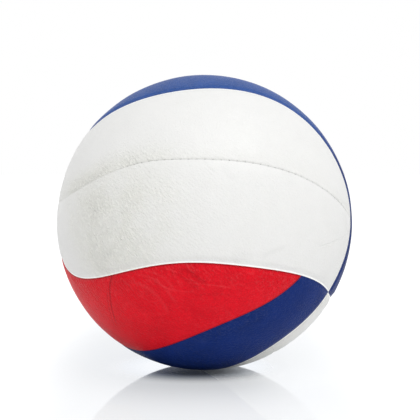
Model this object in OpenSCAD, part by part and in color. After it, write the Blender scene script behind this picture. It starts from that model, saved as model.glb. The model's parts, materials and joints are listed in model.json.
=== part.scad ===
// Stitched leather volleyball of eight swirling panels, four white, two red and two blue.
// Each panel is a crowned skin whose edges are skived and turned in, with a cloth lining glued
// behind it. The turned-in edges meet in pairs along the seams, and a thread lies between them.
// A rubber bladder fills the case, and its self-sealing valve comes out through one panel.

/* [Ball] */
// Outside diameter of the blown-up ball, over the crowns of the panels
ball_d = 210; // [190:1:230]

/* [Cover] */
// Thickness of the leather in the middle of a panel
cover_t = 1.6; // [1.2:0.1:2]
// How far a panel's edge dips below its crown
seam_sink = 1.1; // [0.5:0.1:1.1]
// Width of the rounded strip along each edge
edge_roll = 3.4; // [2:0.2:5]
// Depth of the turned-in edges below the crown
seam_allowance = 3.8; // [3.4:0.1:5]
// Thickness of a turned-in edge after it is skived
flange_t = 0.9; // [0.6:0.1:1.4]

/* [Thread] */
// Diameter of the waxed seam thread
thread_d = 0.6; // [0.4:0.05:0.8]
// Room between the thread and the turned-in edge on either side
thread_clearance = 0.1; // [0.05:0.05:0.2]

/* [Lining] */
// Thickness of the cloth lining
lining_t = 1.4; // [0.8:0.1:2]
// Thickness of a glue line
glue_t = 0.15; // [0.1:0.05:0.3]
// Room between the lining and the turned-in edge
lining_clearance = 0.3; // [0.2:0.1:0.8]

/* [Bladder] */
// Wall of the rubber bladder
bladder_t = 0.9; // [0.6:0.1:1.5]
// Least room between the bladder and the case
bladder_clearance = 0.25; // [0.2:0.05:0.5]

/* [Valve] */
// Diameter of the valve stem, where it passes through the case
stem_d = 9; // [8:0.5:12]
// Depth of the valve's mouth below the crown of the panel
mouth_depth = 0.8; // [0.5:0.1:1.5]
// Length of the barrel inside the bladder
barrel_l = 12; // [9:0.5:18]
// Diameter of the foot that is bonded inside the bladder
foot_d = 26; // [20:1:32]
// Thickness of the foot
foot_t = 1.4; // [1:0.1:2]
// Diameter of the cloth patch round the valve, in the lining's plane
patch_d = 34; // [28:1:40]
// Room round the stem, and round the patch
stem_clearance = 0.2; // [0.1:0.05:0.4]
// Diameter of the self-sealing plug in the stem
plug_d = 5; // [4:0.25:6]
// Room between the plug and the stem
plug_clearance = 0.05; // [0.03:0.01:0.1]
// Diameter of the plug's head, which closes the barrel's inner end
plug_head_d = 7; // [6.5:0.25:8]
// Thickness of the plug's head
plug_head_t = 2; // [1:0.25:3]
// Diameter of the hole for the inflating needle
needle_d = 2; // [1.8:0.1:2.6]
// Depth of the needle hole, below its countersink
needle_l = 9; // [6:0.5:11]
// Depth of the countersink that leads the needle in
countersink_t = 0.7; // [0.3:0.1:1]

/* [Hidden] */
$fn = 96;

ball_r = ball_d / 2;
seam_gap = thread_d + 2 * thread_clearance;
// One overrun serves every cut
overrun = 1;

// The seams, in degrees. Latitude runs from the pole where four seams cross to the pole opposite,
// and longitude round the line between them. Two main seams, at 0 and 180, follow
// front_wave_angles, and two, at 90 and 270, follow upper_wave_angles: the swirl per degree of
// latitude, then the height of the waves that come once, twice and three times between equator
// and pole.
front_wave_angles = [0.49, 4.8, 1.5, 0.75];
upper_wave_angles = [0.46, 15, -3.3, 1.9];
// A mid seam lies halfway between two main seams. Each half is a great circle that leans over until
// it is level at the latitude of its crest, with a bulge near halfway, and it ends on a main seam.
mid_lon = 45;
mid_lean = 0.59;
upper_crest_angle = 60.8;
upper_bulge_angle = 3;
front_crest_angle = 67.2;
front_bulge_angle = 10.9;

// Stations along the seams. Both panels on a seam, and its thread, share its stations.
front_tip_n = 4;
front_side_n = 24;
upper_tip_n = 5;
mid_n = front_tip_n + front_side_n - upper_tip_n;
upper_side_n = front_tip_n + mid_n - upper_tip_n;
// Places across a panel's skin, as shares of the way between its rounded strips
crown_shares = [0.25, 0.5, 0.75];
// Places across a panel's back and its lining, as shares of their width
back_shares = [0, 0.25, 0.5, 0.75, 1];
// A rounded strip is no wider than this share of the panel where the panel is narrow
roll_share = 0.3;
// The part of the dip that is left at the inner side of the rounded strip
roll_sink_share = 0.12;
// Sides of a thread
thread_sides = 6;

// Most that a flat facet dips below the sphere through its corners, with half a cell either way
cell_across = mid_lon / (len(back_shares) - 1);
cell_along = 90 / (upper_tip_n + upper_side_n / 2);
facet_dip = ball_r * (2 - cos(cell_across / 2) - cos(cell_along / 2));

// Radii of the layers, from outside to inside
back_r = ball_r - cover_t;
flange_r = ball_r - seam_allowance;
lining_r = back_r - glue_t;
case_r = min(flange_r, lining_r - lining_t) - facet_dip;
bladder_r = case_r - bladder_clearance;
cavity_r = bladder_r - bladder_t;
thread_r = ball_r - seam_sink - thread_d;

// The valve comes out in the middle of the back white panel
valve_lat = 0;
valve_lon = 180 - mid_lon / 2;
mouth_r = ball_r - mouth_depth;
foot_r = cavity_r - glue_t;
barrel_r = foot_r - barrel_l;
patch_r = back_r - facet_dip - glue_t;

// How the ball lies: spun about its own axis, tipped over, then turned about the vertical
spin = -73.6;
tip = 114.5;
turn = -28.9;

// Points on the unit sphere

function at(lat, lon) = [cos(lat) * cos(lon), cos(lat) * sin(lon), sin(lat)];
function unit(v) = v / norm(v);
function between(p, q, share) = unit(p * (1 - share) + q * share);

// Swirl of a main seam away from its own longitude
function swirl(wave, lat) =
    wave[0] * lat + wave[1] * sin(2 * lat) + wave[2] * sin(4 * lat) + wave[3] * sin(6 * lat);
function front_seam(lat) = at(lat, -swirl(front_wave_angles, lat));
function upper_seam(lat) = at(lat, -2 * mid_lon - swirl(upper_wave_angles, lat));

// Latitude and swirl of half a mid seam, at an arc of s degrees from its middle
function half_lat(s, crest) = asin(sin(crest) * sin(s));
function half_swirl(s, crest, bulge) =
    let (lat = half_lat(s, crest), lean = (mid_lean - 1 / tan(crest)) / 2 * 180 / PI)
    atan2(cos(crest) * sin(s), cos(s)) + lean * sin(2 * lat) + bulge * pow(sin(2 * lat), 2);
function mid_seam(s) = s > 0
    ? at(half_lat(s, upper_crest_angle),
        -mid_lon - half_swirl(s, upper_crest_angle, upper_bulge_angle))
    : at(-half_lat(-s, front_crest_angle),
        -mid_lon + half_swirl(-s, front_crest_angle, front_bulge_angle));

// Arc at which half a mid seam reaches its main seam, found by halving
function meeting(low, high, crest, bulge, wave, steps = 24) =
    let (s = (low + high) / 2, lat = half_lat(s, crest))
    steps == 0 ? s
    : half_swirl(s, crest, bulge) > mid_lon + swirl(wave, lat)
        ? meeting(low, s, crest, bulge, wave, steps - 1)
        : meeting(s, high, crest, bulge, wave, steps - 1);
upper_end = meeting(mid_lon, 90, upper_crest_angle, upper_bulge_angle, upper_wave_angles);
front_end = meeting(mid_lon, 90, front_crest_angle, front_bulge_angle, front_wave_angles);
upper_end_lat = half_lat(upper_end, upper_crest_angle);
front_end_lat = half_lat(front_end, front_crest_angle);

// Even steps from one value to another
function steps(from, to, n) = [for (i = [0:n]) from + (to - from) * i / n];
function tail(list) = [for (i = [1:len(list) - 1]) list[i]];
function turned_back(list) = [for (i = [len(list) - 1:-1:0]) list[i]];

// Stations of the seams: latitudes of the main ones from pole to pole, arcs of the mid one
front_lats = concat(steps(90, front_end_lat, front_tip_n),
    tail(steps(front_end_lat, -front_end_lat, front_side_n)),
    tail(steps(-front_end_lat, -90, front_tip_n)));
upper_lats = concat(steps(90, upper_end_lat, upper_tip_n),
    tail(steps(upper_end_lat, -upper_end_lat, upper_side_n)),
    tail(steps(-upper_end_lat, -90, upper_tip_n)));
mid_arcs = steps(upper_end, -front_end, mid_n);
front_line = [for (lat = front_lats) front_seam(lat)];
upper_line = [for (lat = upper_lats) upper_seam(lat)];
mid_line = [for (s = mid_arcs) mid_seam(s)];
function part_of(line, first, last) = [for (i = [first:last]) line[i]];

// A panel is a strip between an east side and a west side, which start and end at shared corners.
// The first kind has its corner where the four seams cross, the second at the opposite pole.
first_east = part_of(front_line, 0, front_tip_n + front_side_n);
first_west = concat(part_of(upper_line, 0, upper_tip_n), tail(mid_line));
second_east = concat(part_of(turned_back(front_line), 0, front_tip_n), tail(turned_back(mid_line)));
second_west = part_of(turned_back(upper_line), 0, upper_tip_n + upper_side_n);
FIRST = [first_east, first_west, 1];
SECOND = [second_east, second_west, -1];

// An outline moved inwards along the sphere. side is 1 where the inside lies to the left.
function inset_point(before, p, after, side, length) =
    let (n0 = side * unit(cross(p, p - before)), n1 = side * unit(cross(p, after - p)))
    unit(p + (n0 + n1) / (1 + n0 * n1) * length / ball_r);
function inset(loop, side, length) =
    [for (i = [0:len(loop) - 1])
        inset_point(loop[(i + len(loop) - 1) % len(loop)], loop[i],
            loop[(i + 1) % len(loop)], side, length)];

// Both sides of a panel, moved inwards together: [east, west], which share their end corners
function sides(kind, length) =
    let (n = len(kind[0]) - 1,
        loop = concat(turned_back(kind[0]), part_of(kind[1], 1, n - 1)),
        moved = inset(loop, kind[2], length))
    [turned_back(part_of(moved, 0, n)),
        concat([moved[n]], part_of(moved, n + 1, 2 * n - 1), [moved[0]])];

// One row across a panel's skin, a closed run of points: over the crown from east to west, down the
// west edge, back along the underside, and up the east edge
function skin_row(e, w, ei, wi) =
    let (width = norm(w - e) * ball_r,
        strip = min(edge_roll / width, roll_share),
        lip = ball_r - seam_sink,
        shoulder = ball_r - seam_sink * roll_sink_share)
    concat([e * lip, between(e, w, strip) * shoulder],
        [for (share = crown_shares) between(e, w, strip + share * (1 - 2 * strip)) * ball_r],
        [between(e, w, 1 - strip) * shoulder, w * lip, w * flange_r, wi * flange_r],
        [for (share = back_shares) between(wi, ei, share) * back_r],
        [ei * flange_r, e * flange_r]);
// The four points that such a row shrinks to at a panel's corner, and which of them each becomes
function skin_corner(e, ei) =
    [e * (ball_r - seam_sink), e * flange_r, ei * flange_r, ei * back_r];
skin_top_n = len(crown_shares) + 4;
skin_corner_of = concat([for (i = [1:skin_top_n]) 0], [1, 2], [for (i = back_shares) 3], [2, 1]);

// The same for a lining: out along its outer face from east to west, and back along the inner one
function lining_row(e, w) =
    concat([for (share = back_shares) between(e, w, share) * lining_r],
        [for (share = back_shares) between(w, e, share) * (lining_r - lining_t)]);
function lining_corner(e) = [e * lining_r, e * (lining_r - lining_t)];
lining_corner_of = concat([for (i = back_shares) 0], [for (i = back_shares) 1]);

// A closed solid over rows of points that shrink to a corner at both ends. Its front and its back,
// from column back_from on, are split along the same diagonal, the shorter one of a slanted cell,
// so that facets back to back lie parallel.
module quilt(start, rows, end, corner_of, side, back_from) {
    m = len(corner_of);
    k = len(start);
    last = len(rows) + 1;
    function index(i, j) = i == 0 ? corner_of[j % m]
        : i == last ? k + len(rows) * m + corner_of[j % m]
        : k + (i - 1) * m + j % m;
    function split(a, b, c, d, other) = other ? [[a, b, d], [b, c, d]] : [[a, b, c], [a, c, d]];
    faces = [for (i = [0:last - 1], j = [0:m - 1])
        for (t = split(index(i, j), index(i, j + 1), index(i + 1, j + 1), index(i + 1, j),
            (j >= back_from) == (side > 0)))
        if (t[0] != t[1] && t[1] != t[2] && t[2] != t[0]) side > 0 ? [t[2], t[1], t[0]] : t];
    polyhedron(concat(start, [for (row = rows) each row], end), faces, convexity = 6);
}

module skin(kind) {
    n = len(kind[0]) - 1;
    outer = sides(kind, seam_gap / 2);
    inner = sides(kind, seam_gap / 2 + flange_t);
    quilt(skin_corner(outer[0][0], inner[0][0]),
        [for (i = [1:n - 1]) skin_row(outer[0][i], outer[1][i], inner[0][i], inner[1][i])],
        skin_corner(outer[0][n], inner[0][n]), skin_corner_of, kind[2], skin_top_n + 1);
}

module lining(kind) {
    n = len(kind[0]) - 1;
    edge = sides(kind, seam_gap / 2 + flange_t + lining_clearance);
    quilt(lining_corner(edge[0][0]), [for (i = [1:n - 1]) lining_row(edge[0][i], edge[1][i])],
        lining_corner(edge[0][n]), lining_corner_of, kind[2], len(back_shares));
}

// A thread along a line of unit vectors, with one ring of points at each
module thread(line) {
    n = len(line);
    rings = [for (i = [0:n - 1])
        let (up = line[i],
            along = unit(line[min(i + 1, n - 1)] - line[max(i - 1, 0)]),
            across = unit(cross(along, up)))
        [for (a = [0:thread_sides - 1])
            up * thread_r + (across * cos(a * 360 / thread_sides)
                + up * sin(a * 360 / thread_sides)) * thread_d / 2]];
    walls = [for (i = [0:n - 2], j = [0:thread_sides - 1])
        let (a = i * thread_sides + j, b = i * thread_sides + (j + 1) % thread_sides)
        each [[a, b, b + thread_sides], [a, b + thread_sides, a + thread_sides]]];
    start = [for (j = [thread_sides - 1:-1:0]) j];
    end = [for (j = [0:thread_sides - 1]) (n - 1) * thread_sides + j];
    polyhedron([for (ring = rings) each ring], concat([start], walls, [end]), convexity = 6);
}

// A main seam's thread stops one thread short of each pole, and a mid seam's thread short of the
// main thread that it meets
module main_thread(line) {
    n = len(line) - 1;
    cut = thread_d / ball_r;
    thread(concat([unit(line[0] + unit(line[1] - line[0]) * cut)], part_of(line, 1, n - 1),
        [unit(line[n] + unit(line[n - 1] - line[n]) * cut)]));
}
module mid_thread() {
    n = mid_n;
    cut = (thread_d + thread_clearance) / ball_r;
    thread(concat([unit(mid_line[0] + unit(mid_line[1] - mid_line[0]) * cut)],
        part_of(mid_line, 1, n - 1),
        [unit(mid_line[n] + unit(mid_line[n - 1] - mid_line[n]) * cut)]));
}

// The ball's own axis tipped to where it lies, and the three half turns that repeat its pieces
module placed() {
    rotate([0, tip, turn]) rotate([0, 0, spin]) children();
}
module half_turn_polar() {
    rotate([0, 0, 180]) children();
}
module half_turn_front() {
    rotate([180, 0, 0]) children();
}
module half_turn_side() {
    rotate([0, 180, 0]) children();
}

// The valve's axis, pointing out of the ball
module on_valve_axis() {
    rotate([0, 90 - valve_lat, valve_lon]) children();
}
module valve_hole(d) {
    on_valve_axis() translate([0, 0, cavity_r - overrun])
        cylinder(h = ball_r - cavity_r + 2 * overrun, d = d);
}

// A round piece of a shell between two radii, with a hole through it
module shell_disc(outer, inner, d, hole_d) {
    on_valve_axis() difference() {
        intersection() {
            sphere(r = outer);
            cylinder(h = outer + overrun, d = d);
        }
        sphere(r = inner);
        translate([0, 0, -overrun]) cylinder(h = outer + 2 * overrun, d = hole_d);
    }
}

module white() {
    color("whitesmoke") children();
}
module red() {
    color("crimson") children();
}
module blue() {
    color("midnightblue") children();
}
module cloth() {
    color("linen") children();
}
module waxed() {
    color("gainsboro") children();
}

module front_white_panel() {
    white() placed() skin(FIRST);
}
module upper_white_panel() {
    white() placed() skin(SECOND);
}
module back_white_panel() {
    white() placed() difference() {
        half_turn_polar() skin(FIRST);
        valve_hole(stem_d + 2 * stem_clearance);
    }
}
module lower_white_panel() {
    white() placed() half_turn_polar() skin(SECOND);
}
module front_red_panel() {
    red() placed() half_turn_front() skin(FIRST);
}
module back_red_panel() {
    red() placed() half_turn_side() skin(FIRST);
}
module lower_blue_panel() {
    blue() placed() half_turn_front() skin(SECOND);
}
module upper_blue_panel() {
    blue() placed() half_turn_side() skin(SECOND);
}

module front_white_lining() {
    cloth() placed() lining(FIRST);
}
module upper_white_lining() {
    cloth() placed() lining(SECOND);
}
module back_white_lining() {
    cloth() placed() difference() {
        half_turn_polar() lining(FIRST);
        valve_hole(patch_d + 2 * stem_clearance);
    }
}
module lower_white_lining() {
    cloth() placed() half_turn_polar() lining(SECOND);
}
module front_red_lining() {
    cloth() placed() half_turn_front() lining(FIRST);
}
module back_red_lining() {
    cloth() placed() half_turn_side() lining(FIRST);
}
module lower_blue_lining() {
    cloth() placed() half_turn_front() lining(SECOND);
}
module upper_blue_lining() {
    cloth() placed() half_turn_side() lining(SECOND);
}

module front_seam_thread() {
    waxed() placed() main_thread(front_line);
}
module back_seam_thread() {
    waxed() placed() half_turn_polar() main_thread(front_line);
}
module upper_seam_thread() {
    waxed() placed() main_thread(upper_line);
}
module lower_seam_thread() {
    waxed() placed() half_turn_polar() main_thread(upper_line);
}
module front_white_mid_thread() {
    waxed() placed() mid_thread();
}
module back_white_mid_thread() {
    waxed() placed() half_turn_polar() mid_thread();
}
module front_red_blue_thread() {
    waxed() placed() half_turn_front() mid_thread();
}
module back_red_blue_thread() {
    waxed() placed() half_turn_side() mid_thread();
}

module bladder() {
    color("dimgray") placed() difference() {
        sphere(r = bladder_r);
        sphere(r = cavity_r);
        valve_hole(stem_d + 2 * stem_clearance);
    }
}

// The foot is bonded under the bladder's wall, the stem stands in the case, and the barrel hangs
// inside the bladder
module valve_stem() {
    color("black") placed() difference() {
        union() {
            shell_disc(foot_r, foot_r - foot_t, foot_d, plug_d);
            on_valve_axis() translate([0, 0, barrel_r])
                cylinder(h = mouth_r - barrel_r, d = stem_d);
        }
        on_valve_axis() translate([0, 0, barrel_r - overrun])
            cylinder(h = mouth_r - barrel_r + 2 * overrun, d = plug_d);
    }
}

// The plug fills the stem and seals on its own slit; its head closes the barrel's inner end
module valve_plug() {
    plug_r = plug_d / 2 - plug_clearance;
    needle_r = needle_d / 2;
    mouth_z = mouth_r - plug_clearance;
    head_z = barrel_r - plug_clearance;
    color("gray") placed() on_valve_axis() rotate_extrude() polygon([
        [0, head_z - plug_head_t], [plug_head_d / 2, head_z - plug_head_t],
        [plug_head_d / 2, head_z], [plug_r, head_z], [plug_r, mouth_z],
        [needle_r + countersink_t, mouth_z], [needle_r, mouth_z - countersink_t],
        [needle_r, mouth_z - countersink_t - needle_l], [0, mouth_z - countersink_t - needle_l]
    ]);
}

module valve_patch() {
    color("burlywood") placed()
        shell_disc(patch_r, bladder_r + glue_t, patch_d, stem_d + 2 * stem_clearance);
}

front_white_panel();
upper_white_panel();
back_white_panel();
lower_white_panel();
front_red_panel();
back_red_panel();
lower_blue_panel();
upper_blue_panel();
front_white_lining();
upper_white_lining();
back_white_lining();
lower_white_lining();
front_red_lining();
back_red_lining();
lower_blue_lining();
upper_blue_lining();
front_seam_thread();
back_seam_thread();
upper_seam_thread();
lower_seam_thread();
front_white_mid_thread();
back_white_mid_thread();
front_red_blue_thread();
back_red_blue_thread();
bladder();
valve_stem();
valve_plug();
valve_patch();
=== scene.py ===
"""Dresses a stitched leather volleyball, as it stands on a glossy white table.

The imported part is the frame. The leather of every panel and the thread of every seam are rebuilt as
dense surfaces from the same seam lines, and the linings, the bladder and the valve keep their own
meshes and get a finish. Lengths are in millimetres until a mesh is made, and angles in degrees.
"""

import json
import math

import bpy
import numpy as np
from bpy.props import FloatProperty, FloatVectorProperty, IntProperty, PointerProperty
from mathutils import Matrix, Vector


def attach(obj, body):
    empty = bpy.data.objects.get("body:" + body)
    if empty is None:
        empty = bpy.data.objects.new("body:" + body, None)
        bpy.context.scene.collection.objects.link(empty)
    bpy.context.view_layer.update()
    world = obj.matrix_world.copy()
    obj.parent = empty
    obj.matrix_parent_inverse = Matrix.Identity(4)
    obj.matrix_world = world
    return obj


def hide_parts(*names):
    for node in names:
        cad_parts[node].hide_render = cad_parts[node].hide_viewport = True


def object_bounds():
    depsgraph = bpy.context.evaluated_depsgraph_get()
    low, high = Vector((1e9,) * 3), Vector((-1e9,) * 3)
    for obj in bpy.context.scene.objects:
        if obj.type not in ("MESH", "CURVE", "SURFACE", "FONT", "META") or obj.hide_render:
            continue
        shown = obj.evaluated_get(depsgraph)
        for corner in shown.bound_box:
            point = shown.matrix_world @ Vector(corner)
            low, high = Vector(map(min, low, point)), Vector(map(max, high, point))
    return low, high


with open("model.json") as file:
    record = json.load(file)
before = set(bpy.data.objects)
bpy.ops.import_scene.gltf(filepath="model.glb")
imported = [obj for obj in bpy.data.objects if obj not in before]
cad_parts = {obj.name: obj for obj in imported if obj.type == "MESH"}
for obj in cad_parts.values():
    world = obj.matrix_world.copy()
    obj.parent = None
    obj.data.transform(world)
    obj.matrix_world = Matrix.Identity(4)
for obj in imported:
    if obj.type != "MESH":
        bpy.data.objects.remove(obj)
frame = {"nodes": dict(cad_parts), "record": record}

bl_info = {
    "name": "Stitched Volleyball",
    "version": (1, 0, 0),
    "blender": (4, 5, 0),
    "location": "3D View > Sidebar > Ball",
    "description": "Leather panels, threads, valve and table of a stitched volleyball",
    "category": "Object",
}

MM = 0.001
BODY = "root"
CAD_LOW, CAD_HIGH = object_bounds()
# Radius of the largest ball that stays inside the construction's box
BALL_R = min(*CAD_HIGH, *(-CAD_LOW)) / MM
# Room under that radius for the leather's swells
SWELL = 0.12
CROWN_R = BALL_R - SWELL

# The seams, as the construction has them
FRONT_WAVE = (0.49, 4.8, 1.5, 0.75)
UPPER_WAVE = (0.46, 15.0, -3.3, 1.9)
MID_LON = 45.0
MID_LEAN = 0.59
UPPER_CREST = 60.8
UPPER_BULGE = 3.0
FRONT_CREST = 67.2
FRONT_BULGE = 10.9
SPIN = -73.6
TIP = 114.5
TURN = -28.9

# Layers of the case, as the construction has them
BACK_R = 103.4
FLANGE_R = 101.2
FLANGE_GAP = 0.4
FLANGE_T = 0.9
THREAD_D = 0.6
VALVE_HOLE_R = 4.7
VALVE = np.array(next(m["axis"] for m in frame["record"]["mounts"] if m["name"] == "needle_valve"))

# The photograph's frame: its side, where the ball's centre lies in it, and the outline's radius
PHOTO_SIDE = 420
BALL_PIXEL = np.array([204.5, 222.5])
OUTLINE_PIXELS = 147.8
# Distance of the eye from the ball's centre, in radii, and its height above the horizon
EYE_RADII = 5.8
EYE_ELEVATION = 4.5
SENSOR_MM = 36.0
# Nearest distance that the camera shows, in metres
NEAR_CLIP = 0.01

# Samples along a seam line, the most points that are set against one at a time, and the halvings
# that find where two lines meet
LINE_N = 700
CHUNK_N = 8000
HALVINGS = 24
# Keeps a division by a distance safe where the distance is zero
TINY = 1e-9
# Rows along a panel, those left out next to each corner, and columns between its edges
ROW_N = 480
CORNER_ROWS = 2
MIDDLE_N = 88
# Distances of a panel's outer columns from its lip, and the share of a narrow row that they take
EDGE_COLUMNS = np.array([0, 0.12, 0.28, 0.48, 0.75, 1.1, 1.55, 2.1, 2.8, 3.6])
EDGE_SHARE = 0.4
BACK_SHARES = np.array([0, 0.25, 0.5, 0.75, 1])
# The most of a narrow row's width that the room beside a seam takes, and that this room and the
# turned-in edge take together
WALL_SHARE = 0.1
INNER_SHARE = 0.34
# Points in a panel's corner, one for each level from the lip to the back, and how far the lowest two
# stand towards the next row
LEVEL_N = 5
CORNER_SHARE = 0.6


def unit(vectors):
    """Vectors divided by their lengths."""
    return vectors / np.linalg.norm(vectors, axis=-1, keepdims=True)


def at(lat, lon):
    """Unit vectors at a latitude and a longitude."""
    lat, lon = np.radians(lat), np.radians(lon)
    return np.stack([np.cos(lat) * np.cos(lon), np.cos(lat) * np.sin(lon), np.sin(lat)], -1)


def swirl(wave, lat):
    """How far a main seam swirls away from its longitude: a slope and three sine waves."""
    turn = np.radians(2 * lat)
    waves = wave[1] * np.sin(turn) + wave[2] * np.sin(2 * turn) + wave[3] * np.sin(3 * turn)
    return wave[0] * lat + waves


def half_lat(arc, crest):
    """Latitude of a great circle with its crest at that latitude, an arc away from the equator."""
    return np.degrees(np.arcsin(np.sin(np.radians(crest)) * np.sin(np.radians(arc))))


def half_swirl(arc, crest, bulge):
    """Longitude of that great circle, leaned over and bulged by sines of twice the latitude."""
    a, c = np.radians(arc), np.radians(crest)
    double = np.radians(2 * half_lat(arc, crest))
    lean = np.degrees((MID_LEAN - 1 / np.tan(c)) / 2)
    circle = np.degrees(np.arctan2(np.cos(c) * np.sin(a), np.cos(a)))
    return circle + lean * np.sin(double) + bulge * np.sin(double) ** 2


def front_seam(lat):
    """The main seam at longitude 0."""
    return at(lat, -swirl(FRONT_WAVE, lat))


def upper_seam(lat):
    """The main seam at longitude -90."""
    return at(lat, -2 * MID_LON - swirl(UPPER_WAVE, lat))


def mid_seam(arc):
    """The seam halfway between them: one half leans to the upper seam, the other to the front."""
    up, down = np.maximum(arc, 0), np.maximum(-arc, 0)
    upper = at(half_lat(up, UPPER_CREST), -MID_LON - half_swirl(up, UPPER_CREST, UPPER_BULGE))
    front = at(-half_lat(down, FRONT_CREST), -MID_LON + half_swirl(down, FRONT_CREST, FRONT_BULGE))
    return np.where((arc > 0)[:, None], upper, front)


def meeting(crest, bulge, wave):
    """Arc at which half a mid seam reaches its main seam, found by halving."""
    low, high = MID_LON, 90.0
    for _ in range(HALVINGS):
        arc = (low + high) / 2
        past = half_swirl(arc, crest, bulge) > MID_LON + swirl(wave, half_lat(arc, crest))
        low, high = (low, arc) if past else (arc, high)
    return arc


UPPER_END = meeting(UPPER_CREST, UPPER_BULGE, UPPER_WAVE)
FRONT_END = meeting(FRONT_CREST, FRONT_BULGE, FRONT_WAVE)
UPPER_END_LAT = half_lat(UPPER_END, UPPER_CREST)
FRONT_END_LAT = half_lat(FRONT_END, FRONT_CREST)
FRONT_LINE = front_seam(np.linspace(90, -90, LINE_N))
UPPER_LINE = upper_seam(np.linspace(90, -90, LINE_N))
MID_LINE = mid_seam(np.linspace(UPPER_END, -FRONT_END, LINE_N))


def turn_about(axis, degrees):
    """The matrix that turns row vectors about an axis, 0 for X, 1 for Y and 2 for Z."""
    c, s = math.cos(math.radians(degrees)), math.sin(math.radians(degrees))
    matrix = np.eye(3)
    a, b = (axis + 1) % 3, (axis + 2) % 3
    matrix[a, a] = matrix[b, b] = c
    matrix[b, a], matrix[a, b] = -s, s
    return matrix


# From the ball's own axis to how it lies, and the half turns that repeat its pieces
LIE = turn_about(2, SPIN) @ turn_about(1, TIP) @ turn_about(2, TURN)
HALF_TURNS = {
    "none": np.diag([1, 1, 1]),
    "polar": np.diag([-1, -1, 1]),
    "front": np.diag([1, -1, -1]),
    "side": np.diag([-1, 1, -1]),
}
PANELS = {
    "front_white": ("first", "none"),
    "upper_white": ("second", "none"),
    "back_white": ("first", "polar"),
    "lower_white": ("second", "polar"),
    "front_red": ("first", "front"),
    "back_red": ("first", "side"),
    "lower_blue": ("second", "front"),
    "upper_blue": ("second", "side"),
}
THREADS = {
    "front_seam": (FRONT_LINE, "none"),
    "back_seam": (FRONT_LINE, "polar"),
    "upper_seam": (UPPER_LINE, "none"),
    "lower_seam": (UPPER_LINE, "polar"),
    "front_white_mid": (MID_LINE, "none"),
    "back_white_mid": (MID_LINE, "polar"),
    "front_red_blue": (MID_LINE, "front"),
    "back_red_blue": (MID_LINE, "side"),
}

# Panels whose mid seam shows its stitches, and the stretch of it where they do: its start for each
# half turn, its end, and the length over which they fade
STITCHED = {"front_white", "upper_white", "back_white", "lower_white"}
STITCHED_FROM = {"none": 0.0, "polar": 10.0}
STITCHED_TO = 205.0
STITCHED_FADE = 25.0
# How far beside its seam a stitch bites, where its puckers start, and how far they reach
BITE = 0.55
PUCKER_START = 0.8
PUCKER_REACH = 2.4
# How much that reach wanders, and over what length: slowly and quickly
SLOW_WANDER = (0.7, 9.1)
QUICK_WANDER = (0.5, 5.3)
# A distance from the stitches that counts as none near
FAR_AWAY = 10.0

# The way that wrinkles run, as a vector and as a turn about each axis
WRINKLE_RUN = np.array([0.74, 0.0, -0.67])
WRINKLE_TURN = (0, -42, 0)
# Wavelengths of the broad and the fine height whose sum's zero lines wrinkles follow, the share of
# their headings that is left along the wrinkles, and the fine one's share
BROAD_WRINKLE = 13
FINE_WRINKLE = 6
BROAD_STRETCH = 0.35
FINE_STRETCH = 0.5
FINE_SHARE = 0.5
# Half the width of such a line, as a height, and the size of wrinkled patches
WRINKLE_WIDTH = 0.16
WRINKLE_PATCH = 50
# How a patch's random height becomes the strength of its wrinkles: its slope and its level
PATCH_SLOPE = 0.6
PATCH_LEVEL = -0.1
# Wavelength of the swells, how much of their room they take, how steep they are, and the distance
# from a seam at which they and the wrinkles are full
SWELL_LENGTH = 34
SWELL_SHARE = 0.8
SWELL_STEEPNESS = 0.7
CALM_EDGE = 6
# Rumple: the least, what is added at most, and over what distance that changes
RUMPLE = {
    "front_white": (0.14, 1.4, 22),
    "front_red": (0.35, 0.65, 17),
    "upper_white": (0.1, 1.2, 10),
    "other": (0.3, 0.5, 60),
}
# Where the white leather in front is rumpled, in radii to the right of the ball's middle: from none
# to full, and from none to full again at the far left, across a line that leans by this slant
RUMPLE_RIGHT = (0.1, -0.8)
RUMPLE_LEFT = (-0.94, -0.64)
RUMPLE_SLANT = 0.44
# What the stitched seam leaves of the front panel's rumple, and the right of the upper one's
SEAM_LEAVES = 0.4
RIGHT_LEAVES = 0.2
# Heights on the ball, in radii, between which the blue turns to its lighter top colour: painted light
# on the top of the ball
TOP_LIGHT_HEIGHTS = (0.35, 0.75)
# The shortest and longest waves of a random height, as shares of the wavelength asked for
WAVELENGTH_SPREAD = (0.7, 1.4)


def arc_mm(line):
    """Distance along a line of unit vectors on the ball, at each of its points."""
    steps = np.linalg.norm(np.diff(line, axis=0), axis=1) * BALL_R
    return np.concatenate([[0], np.cumsum(steps)])


def evenly(line, n):
    """The line again, with n even steps."""
    s = arc_mm(line)
    t = np.linspace(0, s[-1], n + 1)
    return unit(np.stack([np.interp(t, s, line[:, k]) for k in range(3)], -1))


def nearest(points, line):
    """Distance to a line, place along it, and the direction from it, for unit vectors.

    The nearest sample has the largest dot product, and the foot of the distance slides from there
    along the line's tangent, by half a step at most.
    """
    parts = np.array_split(points, 1 + len(points) // CHUNK_N)
    best = np.concatenate([np.argmax(part @ line.T, axis=1) for part in parts])
    tangent = unit(np.gradient(line, axis=0))[best]
    s = arc_mm(line)
    half_step = np.gradient(s)[best, None] / 2 / BALL_R
    slide = ((points - line[best]) * tangent).sum(1, keepdims=True)
    slide = np.clip(slide, -half_step, half_step)
    gap = points - line[best] - slide * tangent
    distance = np.linalg.norm(gap, axis=1)
    return distance * BALL_R, s[best] + slide[:, 0] * BALL_R, gap / (distance[:, None] + TINY)


def inset(loop, length):
    """A closed line on the ball moved to its left by a length, with mitred corners."""
    back = unit(np.cross(loop, loop - np.roll(loop, 1, axis=0)))
    ahead = unit(np.cross(loop, np.roll(loop, -1, axis=0) - loop))
    lean = 1 + (back * ahead).sum(1, keepdims=True)
    return unit(loop + (back + ahead) / lean * length / BALL_R)


def smooth(share):
    """A share from 0 to 1, eased at both ends."""
    share = np.clip(share, 0, 1)
    return share * share * (3 - 2 * share)


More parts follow.
